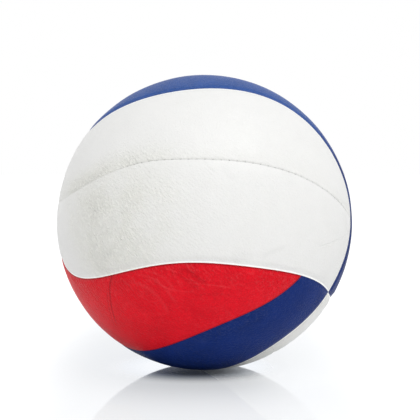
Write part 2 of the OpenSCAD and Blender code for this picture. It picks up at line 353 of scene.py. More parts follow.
def eased(values, start, end):
    """A share that goes from 0 at one value to 1 at another, eased at both ends."""
    return smooth((values - start) / (end - start))


def bell(values, width):
    """A bell curve of values x, 1 in its middle: exp(-(x / width)^2)."""
    return np.exp(-((values / width) ** 2))


def between(a, b, shares):
    """Unit vectors at shares of the way from a to b, one column for each share."""
    shares = np.asarray(shares)[..., None]
    return unit(a[:, None] * (1 - shares) + b[:, None] * shares)


def panel_shape(long_side, tip_side, mid_side, lip_gap):
    """A panel's columns across its top, with the place of each point against the seams.

    One side is a stretch of a main seam. The other is a short stretch of the next main seam and
    then the mid seam. Rows join points that are as far along on both.
    """
    tip_mm, mid_mm = arc_mm(tip_side)[-1], arc_mm(mid_side)[-1]
    tip_n = round(ROW_N * tip_mm / (tip_mm + mid_mm))
    a = evenly(long_side, ROW_N)
    b = np.concatenate([evenly(tip_side, tip_n), evenly(mid_side, ROW_N - tip_n)[1:]])
    kept = [0, *range(1 + CORNER_ROWS, ROW_N - CORNER_ROWS), ROW_N]
    a, b = a[kept], b[kept]
    last = len(kept) - 1
    loop = inset(np.concatenate([a[::-1], b[1:-1]]), lip_gap)
    a = loop[: last + 1][::-1]
    b = np.concatenate([loop[last:], loop[:1]])
    width = np.linalg.norm(b - a, axis=1) * BALL_R
    inner_a, inner_b = a[1:-1], b[1:-1]
    wide = np.maximum(width[1:-1], EDGE_COLUMNS[-1] / EDGE_SHARE)[:, None]
    edge = EDGE_COLUMNS / wide
    middle = edge[:, -1:] + (1 - 2 * edge[:, -1:]) * np.linspace(0, 1, MIDDLE_N + 2)[1:-1]
    top = between(inner_a, inner_b, np.concatenate([edge, middle, 1 - edge[:, ::-1]], axis=1))
    return {"a": a, "b": b, "width": width, "top": top}


def panel_shapes(lip_gap):
    """The two shapes, each used four times: one starts at the pole where four seams cross in
    view, the other at the pole opposite."""
    tip_upper = upper_seam(np.linspace(90, UPPER_END_LAT, LINE_N))
    tip_front = front_seam(np.linspace(-90, -FRONT_END_LAT, LINE_N))
    long_front = front_seam(np.linspace(90, -FRONT_END_LAT, LINE_N))
    long_upper = upper_seam(np.linspace(-90, UPPER_END_LAT, LINE_N))
    return {
        "first": panel_shape(long_front, tip_upper, MID_LINE, lip_gap),
        "second": panel_shape(long_upper, tip_front, MID_LINE[::-1], lip_gap),
    }


def rough_field(points, wavelength, seed, along=None, stretch=1.0, waves=20):
    """A smooth random height with unit spread: sine waves with random headings and phases.

    With a direction to run along, the headings lose most of their part in that direction, so that
    the field's hills and hollows are drawn out that way.
    """
    draw = np.random.default_rng(seed)
    heading = unit(draw.normal(size=(waves, 3)))
    if along is not None:
        heading -= (1 - stretch) * np.outer(heading @ along, along)
    pitch = wavelength * draw.uniform(*WAVELENGTH_SPREAD, (waves, 1))
    phase = draw.uniform(0, 2 * np.pi, waves)
    turns = points * BALL_R @ (heading * 2 * np.pi / pitch).T + phase
    return np.sin(turns).sum(1) * math.sqrt(2 / waves)


FOCAL_PIXELS = OUTLINE_PIXELS / math.tan(math.asin(1 / EYE_RADII))
EYE_BACK = at(EYE_ELEVATION, -90)
EYE_UP = at(90 - EYE_ELEVATION, 90)
EYE_RIGHT = np.array([1.0, 0, 0])


def on_ball(pixels):
    """Unit vectors where the lines of sight through pixels of the photograph meet the ball.

    A line of sight from the eye e along d meets the unit sphere at e + t d, where t is the smaller
    root of t t + 2 t (e . d) + e . e - 1 = 0.
    """
    x, y = (np.asarray(pixels, float) - BALL_PIXEL).T
    sight = unit(np.outer(x, EYE_RIGHT) - np.outer(y, EYE_UP) - FOCAL_PIXELS * EYE_BACK)
    eye = EYE_BACK * EYE_RADII
    half = sight @ eye
    t = -half - np.sqrt(np.maximum(half**2 - (eye @ eye - 1), 0))
    return unit(eye + t[:, None] * sight)


def furrow_line(pixels, n=100):
    """A smooth line through pixels of the photograph: a cubic, or less with fewer points."""
    t = np.linspace(0, 1, len(pixels))
    fit = np.polynomial.polynomial.polyfit(t, np.array(pixels, float), min(3, len(pixels) - 1))
    return on_ball(np.polynomial.polynomial.polyval(np.linspace(0, 1, n), fit).T)


# Creases in the leather that the photograph shows: pixels along each, its depth and half width, and
# its painted shade, which is darker above 0 and a painted highlight below
FOLDS = {
    "red": (
        (((111, 275), (110, 287), (110, 299), (113, 313), (121, 333)), 0.07, 0.5, 0.34),
        (((107, 290), (108, 302), (111, 316), (118, 332)), 0.04, 0.45, 0.16),
        (((132, 272), (146, 277), (160, 283), (170, 293), (176, 306)), 0.07, 0.22, -0.05),
        (((143, 270), (156, 274), (168, 282), (177, 293)), 0.06, 0.22, -0.04),
        (((128, 281), (142, 286), (154, 293), (163, 304), (168, 318)), 0.05, 0.25, -0.05),
        (((160, 268), (175, 272), (187, 279), (198, 286)), 0.07, 0.25, -0.07),
        (((177, 267), (188, 272), (198, 279), (211, 285)), 0.07, 0.3, 0.16),
        (((168, 272), (180, 276), (190, 283), (201, 288)), 0.06, 0.3, 0.12),
        (((190, 283), (204, 285), (220, 286), (238, 290)), 0.07, 0.25, -0.08),
        (((150, 279), (164, 287), (180, 291), (200, 292)), 0.05, 0.25, -0.05),
        (((196, 296), (212, 294), (230, 296), (246, 301)), 0.04, 0.3, 0.08),
    ),
    "white": (
        (((321, 246), (330, 243), (339, 239), (348, 233)), 0.12, 0.5, 0.04),
        (((134, 160), (139, 166), (146, 174), (152, 180)), 0.04, 0.3, 0.02),
        (((138, 158), (144, 166), (150, 173), (157, 179)), 0.05, 0.3, 0.03),
        (((203, 159), (207, 164), (211, 169), (216, 173)), 0.05, 0.2, 0.03),
        (((202, 166), (207, 171), (213, 176)), 0.05, 0.2, 0.01),
        (((219, 165), (226, 169), (232, 176), (240, 180)), 0.05, 0.2, 0.02),
        (((262, 259), (274, 251), (288, 247)), 0.06, 0.4, 0.04),
        (((228, 262), (242, 256), (254, 256)), 0.05, 0.4, 0.03),
    ),
    "blue": (
        (((236, 331), (250, 323), (266, 318)), 0.05, 0.45, 0.1),
        (((186, 357), (200, 352), (214, 350)), 0.05, 0.45, 0.1),
    ),
}


def fold_sockets(pixels, depth, half_width, shade):
    """A crease's small circle on the ball, as the inputs of a fold_line node.

    The circle lies in the plane that fits the crease's points best, whose normal is the direction
    in which the points spread least.
    """
    line = furrow_line(pixels)
    centre = line.mean(0)
    axis = np.linalg.svd(line - centre)[2][2]
    return {
        "Axis": axis,
        "Offset": float(axis @ centre),
        "Middle": line[len(line) // 2],
        "Half length": arc_mm(line)[-1] / 2,
        "Depth": depth,
        "Width": half_width,
        "Shade": shade,
    }


def wrinkles(points, seed, depth):
    """Fine creases that run across the leather here and there: the lines where a drawn-out random
    height is zero, each a groove, where a broader random height lets them show."""
    shape = rough_field(points, BROAD_WRINKLE, seed, WRINKLE_RUN, BROAD_STRETCH)
    fine = rough_field(points, FINE_WRINKLE, seed + 1, WRINKLE_RUN, FINE_STRETCH)
    shape += FINE_SHARE * fine
    patch = rough_field(points, WRINKLE_PATCH, seed + 2)
    where = smooth(patch * PATCH_SLOPE + PATCH_LEVEL)
    return depth * where * bell(shape, WRINKLE_WIDTH)


def notches(s, middle, pitch, reach):
    """Strength of the nearest stitch along a seam: a bell round every stitch, 1 at its middle."""
    off = ((s - middle) / pitch + 0.5) % 1 - 0.5
    return bell(off * pitch, reach)


# Where a row of stitches has a stitch at the middle of its line
MIDDLES = [arc_mm(line)[-1] / 2 for line in (FRONT_LINE, UPPER_LINE, MID_LINE)]


def stitches_shown(name, s):
    """How well the stitches of a panel's mid seam show at places along it, from 0 to 1."""
    if name not in STITCHED:
        return np.zeros(len(s))
    start = STITCHED_FROM[PANELS[name][1]]
    rising = eased(s, start, start + STITCHED_FADE)
    return rising * eased(s, STITCHED_TO, STITCHED_TO - STITCHED_FADE)


def dips(places, shown, settings):
    """How far a panel sinks towards its seams: an S-shaped slope to a land beside a main seam, a
    slope that steepens up to a mid seam, and a narrow dip beside stitches that show."""
    front_gap, upper_gap, mid_gap = (place[0] for place in places)
    main_gap = np.minimum(front_gap, upper_gap)
    wide = settings.dip / MM * eased(main_gap, settings.dip_width / MM, settings.land / MM)
    steep = settings.mid_dip / MM * np.clip(1 - mid_gap / (settings.mid_width / MM), 0, 1) ** 2
    narrow = settings.stitched_dip / MM * eased(mid_gap, settings.stitched_width / MM, 0)
    return np.maximum(wide, steep) + narrow * shown


def rumpled(name, placed, long_gap, mid_gap, seed):
    """How rumpled the leather is at each point, from 0 to about 1.5.

    As the photograph shows it, the front white panel is most rumpled on the left, and grows smoother
    to the right, towards its stitched seam and at the far left. The upper one is rumpled in a band
    along that seam, and the red one below its upper seam. The rest varies at random.
    """
    right, up = placed[:, 0], placed[:, 2]
    left_share = eased(right, *RUMPLE_RIGHT) * eased(right + RUMPLE_SLANT * up, *RUMPLE_LEFT)
    least, more, reach = RUMPLE.get(name, RUMPLE["other"])
    if name == "front_white":
        calmed = SEAM_LEAVES + (1 - SEAM_LEAVES) * eased(mid_gap, 0, reach)
        return (least + more * left_share) * calmed
    if name == "front_red":
        return least + more * bell(long_gap, reach)
    if name == "upper_white":
        calmed = RIGHT_LEAVES + (1 - RIGHT_LEAVES) * left_share
        return least + more * bell(mid_gap, reach) * calmed
    return least + more * smooth(0.5 + 0.5 * rough_field(placed, reach, seed + 7))


def seam_places(top):
    """For the points across a panel: distance, arc and direction to each of the three lines."""
    flat = top.reshape(-1, 3)
    return [nearest(flat, line) for line in (FRONT_LINE, UPPER_LINE, MID_LINE)]


def sewn(places, strengths, seed, settings):
    """What stitches do to the leather: their strength at each point, how far they pull the lip open
    as a vector, and the puckers beside them.

    A stitch is a bell along its seam and across it. Puckers are cosine waves along the seam, two to
    a stitch, which start beside the lip and fade away from it.
    """
    pitch, reach = settings.stitch_pitch / MM, settings.stitch_reach / MM
    stitches = np.zeros(len(places[0][0]))
    opening = np.zeros((len(stitches), 3))
    puckers = np.zeros(len(stitches))
    for (gap, s, inward), middle, strength in zip(places, MIDDLES, strengths):
        stitch = strength * notches(s, middle, pitch, reach) * bell(gap, BITE)
        stitches = np.maximum(stitches, stitch)
        opening += inward * (stitch * settings.stitch_open / BALL_R / MM)[:, None]
        wander = SLOW_WANDER[0] * np.sin(s / SLOW_WANDER[1] + seed)
        wander += QUICK_WANDER[0] * np.sin(s / QUICK_WANDER[1])
        fade = eased(gap, 0, PUCKER_START) * bell(gap, PUCKER_REACH + wander)
        puckers += strength * fade * np.cos(4 * np.pi * (s - middle) / pitch + wander)
    return stitches, opening, puckers


def crown(name, flat, places, turn, settings):
    """The leather's outer face: unit vectors, radii, and the numbers that its finish reads.

    The radius falls away from the crown's by a quarter ellipse at the lip, whose width and depth
    are the roll's, and by the wider dips. Stitches pull the lip down and open, puckers stand beside
    them, and the whole face swells and wrinkles a little away from the seams.
    """
    # Each panel has ten seeds of its own
    seed = 10 * list(PANELS).index(name)
    hidden = settings.hidden_stitches
    shown = stitches_shown(name, places[2][1])
    strengths = (hidden, hidden, hidden + (1 - hidden) * shown)
    stitches, opening, puckers = sewn(places, strengths, seed, settings)
    placed = flat @ turn @ LIE
    gaps = [place[0] for place in places]
    distance = np.min(gaps, axis=0)
    lip = np.clip(1 - (distance - settings.lip_gap / MM) / (settings.roll / MM), 0, 1)
    calm = eased(distance, 0, CALM_EDGE)
    swells = np.tanh(SWELL_STEEPNESS * rough_field(placed, SWELL_LENGTH, seed + 5))
    rumple = rumpled(name, placed, gaps[0], gaps[2], seed)
    creases = wrinkles(placed, seed, settings.wrinkle / MM) * calm * rumple
    radius = CROWN_R - settings.roll_depth / MM * (1 - np.sqrt(1 - lip**2))
    radius -= dips(places, shown, settings)
    radius -= settings.stitch_depth / MM * stitches
    radius += settings.pucker / MM * puckers
    radius += SWELL_SHARE * SWELL * calm * swells
    radius -= creases
    fields = {
        "stitched_seam": gaps[2] + FAR_AWAY * (1 - shown),
        "tight_seam": np.min(gaps[:2] if name in STITCHED else gaps, axis=0),
        "stitch": stitches,
        "furrow": creases,
        "rumple": rumple,
        # Share of the blue's lighter top colour, painted light on the top of the ball
        "fade": eased(placed[:, 2], *TOP_LIGHT_HEIGHTS),
    }
    return unit(flat + opening) @ turn @ LIE, np.minimum(radius, BALL_R), fields


def bands(rings):
    """The faces between neighbouring rings, from their points' numbers, one row for each ring."""
    near, far = rings[:-1], rings[1:]
    return np.stack([near, np.roll(near, -1, 1), np.roll(far, -1, 1), far], -1).reshape(-1, 4)


def closed_quilt(top_n, row_n):
    """The faces of a panel whose rows are rings round it, closed by a corner at each end.

    A row goes across the top, down the lip of one side, back below and up the lip of the other
    side. A corner has one point for each level. Points are numbered row by row, and the corners'
    come last.
    """
    levels = np.array([0] * top_n + [1, 2, 3] + [4] * len(BACK_SHARES) + [3, 2, 1])
    rows = np.arange(row_n * len(levels)).reshape(row_n, -1)
    first = rows.size + levels
    quads = bands(np.vstack([first, rows, first + LEVEL_N]))
    at_start = quads[:, 0] == quads[:, 1]
    at_end = quads[:, 2] == quads[:, 3]
    whole = quads[~at_start & ~at_end]
    return [*whole.tolist(), *quads[at_start][:, 1:].tolist(), *quads[at_end][:, :3].tolist()]


def lip_wall(near, far, shares, lip):
    """The three points below the lip of each row: under it, and at the flange's two corners."""
    flange = np.full(len(lip), FLANGE_R)
    radii = np.stack([lip - THREAD_D / 2, flange, flange], -1)
    return between(near, far, shares) * radii[..., None]


def corner_points(tip, way, lip_r):
    """A panel's corner: one point for each level, the lowest two a little into the panel."""
    within = between(tip[None], way[None], [[CORNER_SHARE]])[0, 0]
    radii = np.array([lip_r, lip_r - THREAD_D / 2, FLANGE_R, FLANGE_R, BACK_R])
    return np.stack([tip, tip, tip, within, within]) * radii[:, None]


def panel_surface(name, shape, places, settings):
    """Points, faces and attributes of one panel, from its shape and its half turn."""
    turn = HALF_TURNS[PANELS[name][1]]
    top = shape["top"]
    row_n, top_n = top.shape[:2]
    outer, radius, fields = crown(name, top.reshape(-1, 3), places, turn, settings)
    outer = (outer * radius[:, None]).reshape(row_n, top_n, 3)
    radius = radius.reshape(row_n, top_n)
    a, b = shape["a"] @ turn @ LIE, shape["b"] @ turn @ LIE
    inner_a, inner_b = a[1:-1], b[1:-1]
    width = shape["width"][1:-1]
    wall = np.minimum(FLANGE_GAP - settings.lip_gap / MM, WALL_SHARE * width) / width
    inner = np.minimum(wall + FLANGE_T / width, INNER_SHARE)
    shares = np.stack([wall, wall, inner], -1)
    side_a = lip_wall(inner_a, inner_b, shares, radius[:, 0])
    side_b = lip_wall(inner_b, inner_a, shares, radius[:, -1])
    under = 1 - inner[:, None] + (2 * inner[:, None] - 1) * BACK_SHARES
    under = between(inner_a, inner_b, under) * BACK_R
    rows = np.concatenate([outer, side_b, under, side_a[:, ::-1]], axis=1)
    lip_r = CROWN_R - (settings.roll_depth + settings.dip) / MM
    corners = [corner_points(a[0], unit(a[1] + b[1]), lip_r)]
    corners.append(corner_points(a[-1], unit(a[-2] + b[-2]), lip_r))
    points = np.concatenate([rows.reshape(-1, 3), *corners])
    attributes = {}
    for field, values in fields.items():
        full = np.zeros((row_n, rows.shape[1]))
        full[:, :top_n] = values.reshape(row_n, top_n)
        attributes[field] = np.concatenate([full.ravel(), np.zeros(2 * LEVEL_N)])
    return points, closed_quilt(top_n, row_n), attributes


# Half the length over which a thread rises at a stitch, and the height at which it is neither
# raised nor lowered
RISE_REACH = 0.9
RISE_LEVEL = 0.5


def thread_surface(line, turn, settings, lip_r, pitch):
    """Points and faces of a twisted thread along a seam, closed at both ends.

    Round the centre line c(s) runs r (1 + k (cos(p t - 2 pi s / w) - 1)): grooves part p strands,
    which turn once round in p lengths w. The centre lies below the lips and rises at each stitch.
    """
    radius, step = settings.thread_r / MM, settings.step / MM
    whole = arc_mm(line)
    length = whole[-1]
    rings = int((length - 2 * settings.end_gap / MM) / step)
    s = np.linspace(settings.end_gap / MM, length - settings.end_gap / MM, rings)
    ahead = unit(np.stack([np.interp(s, whole, line[:, k]) for k in range(3)], -1))
    way = unit(np.gradient(ahead, axis=0))
    across = unit(np.cross(way, ahead))
    rise = notches(s, length / 2, pitch, RISE_REACH)
    centre = lip_r - THREAD_D + settings.lift / MM * (rise - RISE_LEVEL)
    t = np.linspace(0, 2 * np.pi, settings.sides, endpoint=False)
    strands = np.cos(settings.strands * t - 2 * np.pi * s[:, None] / (settings.twist / MM))
    reach = radius * (1 + settings.strand_depth * (strands - 1))
    out = centre[:, None] + reach * np.cos(t)
    beside = reach * np.sin(t)
    rows = ahead[:, None] * out[..., None] + across[:, None] * beside[..., None]
    ends = ahead[[0, -1]] * centre[[0, -1], None]
    points = np.concatenate([rows.reshape(-1, 3), ends]) @ turn @ LIE
    index = np.arange(rings * settings.sides).reshape(rings, settings.sides)
    tip = np.full(settings.sides, index.size)
    caps = [
        np.stack([np.roll(index[0], -1), index[0], tip], -1),
        np.stack([index[-1], np.roll(index[-1], -1), tip + 1], -1),
    ]
    return points, [*bands(index).tolist(), *caps[0].tolist(), *caps[1].tolist()]


def mesh_piece(name, points, faces, attributes=None):
    """A smooth mesh object from points in millimetres, with its faces outward."""
    corners = np.array([face[:3] for face in faces])
    a, b, c = (points[corners[:, k]] for k in range(3))
    if (a * np.cross(b, c)).sum() < 0:
        faces = [face[::-1] for face in faces]
    mesh = bpy.data.meshes.new(name)
    mesh.from_pydata((points * MM).tolist(), [], faces)
    for field, values in (attributes or {}).items():
        mesh.attributes.new(field, "FLOAT", "POINT").data.foreach_set("value", values.astype("f"))
    mesh.shade_smooth()
    piece = bpy.data.objects.new(name, mesh)
    bpy.context.scene.collection.objects.link(piece)
    return piece


def add(tree, kind, sockets=None, **choices):
    """A shader node with its choices, and its inputs set to values or joined to outputs."""
    node = tree.nodes.new("ShaderNode" + kind)
    for choice, value in choices.items():
        setattr(node, choice, value)
    for socket, value in (sockets or {}).items():
        if isinstance(value, bpy.types.NodeSocket):
            tree.links.new(value, node.inputs[socket])
        else:
            node.inputs[socket].default_value = value
    return node


def maths(tree, operation, *values):
    """The result of a math node."""
    return add(tree, "Math", dict(enumerate(values)), operation=operation).outputs[0]


def times(tree, a, b):
    """The product of two values."""
    return maths(tree, "MULTIPLY", a, b)


def times_plus(tree, a, b, c):
    """The product of two values plus a third."""
    return maths(tree, "MULTIPLY_ADD", a, b, c)


def ramp(tree, value, low, high, start=0.0, end=1.0):
    """A value eased from start to end while it goes from low to high."""
    sockets = {"Value": value, "From Min": low, "From Max": high, "To Min": start, "To Max": end}
    return add(tree, "MapRange", sockets, interpolation_type="SMOOTHSTEP").outputs[0]


def noise(tree, places, scale, detail=2.0, roughness=0.5):
    """A noise texture's height over places in millimetres, about 0.5."""
    sockets = {"Vector": places, "Scale": scale, "Detail": detail, "Roughness": roughness}
    return add(tree, "TexNoise", sockets).outputs[0]


def vector(tree, operation, *values, result="Vector"):
    """The vector that a vector math node gives, or the number with the result named Value."""
    sockets = dict(enumerate(values))
    return add(tree, "VectorMath", sockets, operation=operation).outputs[result]


def shaded(tree, colour, factor):
    """A colour times a factor."""
    sockets = {0: colour, "Scale": factor}
    return add(tree, "VectorMath", sockets, operation="SCALE").outputs["Vector"]


def bell_curve(tree, value):
    """exp(-x^2) of a value x."""
    return maths(tree, "EXPONENT", times(tree, times(tree, value, value), -1.0))


def uneven(tree, places, scale, detail=2.0, roughness=0.5):
    """A noise texture's height about 0."""
    return maths(tree, "SUBTRACT", noise(tree, places, scale, detail, roughness), 0.5)


def millimetres(tree, turned=(0, 0, 0), squeezed=(1, 1, 1)):
    """Object coordinates in millimetres, turned and squeezed."""
    places = add(tree, "TexCoord").outputs["Object"]
    scale = [s / MM for s in squeezed]
    if any(turned):
        sockets = {"Vector": places, "Rotation": [math.radians(t) for t in turned]}
        places = add(tree, "Mapping", sockets).outputs[0]
    return add(tree, "Mapping", {"Vector": places, "Scale": scale}).outputs[0]


def moved(tree, places, way, share):
    """Places, or a colour, moved by a share of a vector."""
    return vector(tree, "ADD", places, shaded(tree, way, share))


def node_group(name, inputs, outputs):
    """An empty shader group with its sockets: the tree, the inputs' outputs and the result node."""
    tree = bpy.data.node_groups.new(name, "ShaderNodeTree")
    kinds = {"Colour": "NodeSocketColor", "Axis": "NodeSocketVector", "Middle": "NodeSocketVector"}
    for label, value in inputs.items():
        kind = kinds.get(label, "NodeSocketFloat")
        tree.interface.new_socket(label, in_out="INPUT", socket_type=kind).default_value = value
    for label in outputs:
        kind = kinds.get(label, "NodeSocketFloat")
        tree.interface.new_socket(label, in_out="OUTPUT", socket_type=kind)
    given = tree.nodes.new("NodeGroupInput").outputs
    return tree, given, tree.nodes.new("NodeGroupOutput")


# The grain, per millimetre: how fine its wander, pores, mottle and rumpled patches are
WANDER_SCALE = 0.35
PORE_SCALE = 1.1
MOTTLE_SCALE = 0.09
PATCH_SCALE = 0.05
# The same for its waves and crease lines, along the way that wrinkles run and across it
WAVE_SCALES = (0.26, 0.75, 0.75)
LINE_SCALES = (0.07, 0.24, 0.24)
# How far the outlines of pebbles wander in millimetres, and waves and lines in their own lengths
PEBBLE_WANDER = 2.6
WAVE_WANDER = 1.4
LINE_WANDER = 1.0
# Where a pebble is at full height, in cells from its edge, and where a line ends, as a noise height
PEBBLE_EDGE = 0.42
LINE_EDGE = 0.022
# Where patches of rumple begin and are full, as noise heights, and the rumple's share elsewhere
PATCH_EDGES = (0.35, 0.6)
BARE_RUMPLE = 0.6
# Heights of pebbles, what rumple adds to them, and the heights of pores, waves and lines
PEBBLE_HEIGHT = 0.06
RUMPLED_PEBBLE = 0.12
PORE_HEIGHT = 0.16
WAVE_HEIGHT = 1.4
LINE_HEIGHT = 0.08
# What a broad mottle adds to the pores', what mottle changes in the tone, and the painted shade and
# light that waves put in it
BROAD_MOTTLE = 0.5
MOTTLE_TONE = 2.0
WAVE_SHADING = 0.1
# Where a painted glint on a wave's crest begins and where it is full, as noise heights
CREST = (0.03, 0.16)
# How much blue rumpled leather loses
YELLOWED = 0.045
# Roughness of the leather, and how much its pores change it
LEATHER_ROUGHNESS = 0.36
PORE_ROUGHNESS = 0.16


def pebbles(tree, given, places, wander):
    """Rounded pebbles with wandering outlines: 0 at their edges, and full within."""
    bent = moved(tree, places, wander, PEBBLE_WANDER)
    sockets = {"Vector": bent, "Scale": maths(tree, "DIVIDE", 1.0, given["Cell"])}
    edge = add(tree, "TexVoronoi", sockets, feature="DISTANCE_TO_EDGE").outputs["Distance"]
    return times(tree, ramp(tree, edge, 0.0, PEBBLE_EDGE), given["Pebble"])


def drawn_out(tree, wander, reach, scales, roughness):
    """A noise height about 0 that runs as the wrinkles do and wanders by a reach."""
    places = moved(tree, millimetres(tree, WRINKLE_TURN, scales), wander, reach)
    return uneven(tree, places, 1.0, roughness=roughness)


def grain_colour(tree, given, tone, glint, rumple):
    """The leather's colour, in a tone, yellower where it is rumpled, and with painted glints added.
    """
    blue_left = times_plus(tree, maths(tree, "MINIMUM", rumple, 1.0), -YELLOWED, 1.0)
    aged = add(tree, "CombineXYZ", {0: 1.0, 1: 1.0, 2: blue_left}).outputs[0]
    colour = vector(tree, "MULTIPLY", shaded(tree, given["Colour"], tone), aged)
    return vector(tree, "ADD", colour, glint)


def leather_grain():
    """Grain of split leather, with its height in millimetres.

    Rounded pebbles are parted by fine grooves and pitted by pores. Where the leather is rumpled,
    drawn-out waves and crease lines run across it, and it is a little yellower. The waves also put
    painted shade and light in its colour, and crests and lines painted glints.
    """
    inputs = {
        "Colour": (1, 1, 1, 1),
        "Cell": 1.5,
        "Rumple": 0.5,
        "Pebble": 1.0,
        "Mottle": 0.1,
        "Glint": 0.02,
    }
    tree, given, result = node_group("leather_grain", inputs, ("Colour", "Height", "Roughness"))
    places = millimetres(tree)
    sockets = {"Vector": places, "Scale": WANDER_SCALE, "Detail": 2.0}
    wander = add(tree, "TexNoise", sockets).outputs["Color"]
    wander = vector(tree, "SUBTRACT", wander, (0.5, 0.5, 0.5))

    # Pores everywhere, and waves and crease lines where the leather is rumpled
    pores = uneven(tree, places, PORE_SCALE, detail=3.0, roughness=0.6)
    patch = ramp(tree, noise(tree, places, PATCH_SCALE), *PATCH_EDGES, BARE_RUMPLE, 1.0)
    rumple = times(tree, patch, given["Rumple"])
    wave = drawn_out(tree, wander, WAVE_WANDER, WAVE_SCALES, roughness=0.6)
    waves = times(tree, wave, rumple)
    line = drawn_out(tree, wander, LINE_WANDER, LINE_SCALES, roughness=0.5)
    line = maths(tree, "ABSOLUTE", line)
    lines = times(tree, ramp(tree, line, 0.0, LINE_EDGE, 1.0, 0.0), rumple)

    # All of them and the pebbles in the height
    pebbly = times_plus(tree, rumple, RUMPLED_PEBBLE, PEBBLE_HEIGHT)
    height = times(tree, pebbles(tree, given, places, wander), pebbly)
    height = times_plus(tree, pores, PORE_HEIGHT, height)
    height = times_plus(tree, waves, WAVE_HEIGHT, height)
    height = times_plus(tree, lines, LINE_HEIGHT, height)

    # Mottle in the tone, painted shade and light of the waves in the tone, and painted glints on
    # crests and lines
    broad = uneven(tree, places, MOTTLE_SCALE, detail=3.0)
    mottle = times_plus(tree, broad, BROAD_MOTTLE, pores)
    mottle = times(tree, mottle, given["Mottle"])
    tone = times_plus(tree, mottle, MOTTLE_TONE, 1.0)
    tone = times_plus(tree, waves, WAVE_SHADING, tone)
    # Painted glints: white added on crests and crease lines
    crest = times(tree, ramp(tree, wave, *CREST), rumple)
    glint = times(tree, maths(tree, "ADD", lines, crest), given["Glint"])

    rough = times_plus(tree, pores, PORE_ROUGHNESS, LEATHER_ROUGHNESS)
    colour = grain_colour(tree, given, tone, glint, rumple)
    tree.links.new(colour, result.inputs["Colour"])
    tree.links.new(height, result.inputs["Height"])
    tree.links.new(rough, result.inputs["Roughness"])
    return tree


# Between which distances from a stitched seam the painted shade on its lip clears, and that shaded
# tone
LIP_SHADE_EDGES = (0.1, 0.55)
LIP_SHADE = 0.93
# The painted shade that a stitch hole and a wrinkle a millimetre deep take from the tone
HOLE_SHADE = 0.14
FURROW_SHADE = 0.8
# Between which distances from a tight seam the painted light on its roll ends
ROLL_LIGHT_EDGES = (0.6, 1.3)


def seam_wear():
    """Colour beside the seams: painted shade on the lip at a stitched seam, in stitch holes and in
    wrinkles, and on the roll along a tight seam a painted highlight above 0 and painted shade below."""
    inputs = {
        "Colour": (1, 1, 1, 1),
        "Stitched seam": 10.0,
        "Tight seam": 10.0,
        "Stitch": 0.0,
        "Furrow": 0.0,
        "Rub": 0.0,
    }
    tree, given, result = node_group("seam_wear", inputs, ("Colour",))
    tone = ramp(tree, given["Stitched seam"], *LIP_SHADE_EDGES, LIP_SHADE, 1.0)
    hole = times_plus(tree, given["Stitch"], -HOLE_SHADE, 1.0)
    furrow_shade = times_plus(tree, given["Furrow"], -FURROW_SHADE, 1.0)
    near = ramp(tree, given["Tight seam"], *ROLL_LIGHT_EDGES, 1.0, 0.0)
    # Painted light on the roll: a highlight above 0, shade below
    roll_light = times(tree, near, given["Rub"])
    tone = times(tree, tone, times(tree, hole, furrow_shade))
    tone = times(tree, tone, maths(tree, "ADD", roll_light, 1.0))
    tree.links.new(shaded(tree, given["Colour"], tone), result.inputs["Colour"])
    return tree


# How far a crease wobbles, how fine its wobble is, and from what share of its half length it fades
FOLD_WOBBLE = 0.8
WOBBLE_SCALE = 0.08
FOLD_FADE = 0.6
# Where a crease's rims lie, in half widths from its middle, and their height as a share of its depth
RIM_PLACE = 2.0
RIM_HEIGHT = 0.35


def fold_line():
    """One crease: a groove with a low rim along a small circle on the ball, between two ends.

    A point p on the unit ball is a . p - c across from the circle with axis a and offset c. The
    groove's section is exp(-(x / w)^2), and it fades with the distance from the crease's middle.
    """
    inputs = {
        "Axis": (0, 0, 1),
        "Offset": 0.0,
        "Middle": (0, 0, 1),
        "Half length": 10.0,
        "Depth": 0.1,
        "Width": 0.5,
        "Shade": 0.0,
    }
    tree, given, result = node_group("fold_line", inputs, ("Height", "Shade"))
    places = add(tree, "TexCoord").outputs["Object"]
    wobble = noise(tree, millimetres(tree), WOBBLE_SCALE)
    wobble = times_plus(tree, wobble, FOLD_WOBBLE, -FOLD_WOBBLE / 2)
    way = vector(tree, "NORMALIZE", places)
    across = vector(tree, "DOT_PRODUCT", way, given["Axis"], result="Value")
    across = maths(tree, "SUBTRACT", across, given["Offset"])
    across = times_plus(tree, across, BALL_R, wobble)
    along = vector(tree, "DISTANCE", way, given["Middle"], result="Value")
    along = times(tree, along, BALL_R)
    along = maths(tree, "DIVIDE", along, given["Half length"])
    ends = ramp(tree, along, FOLD_FADE, 1.0, 1.0, 0.0)
    share = maths(tree, "DIVIDE", across, given["Width"])
    groove = bell_curve(tree, share)
    rim = bell_curve(tree, maths(tree, "SUBTRACT", maths(tree, "ABSOLUTE", share), RIM_PLACE))
    section = times_plus(tree, rim, RIM_HEIGHT, times(tree, groove, -1.0))
    deep = times(tree, ends, given["Depth"])
    tree.links.new(times(tree, section, deep), result.inputs["Height"])
    # Painted shade along the groove, and a painted highlight where the shade is below 0
    dark = times(tree, groove, times(tree, ends, given["Shade"]))
    tree.links.new(dark, result.inputs["Shade"])
    return tree


# Height of a cloth's yarns, its tone between them, and the painted shade and light that follow their
# height
YARN_HEIGHT = 0.08
CLOTH_TONE = 0.9
YARN_SHADING = 0.12


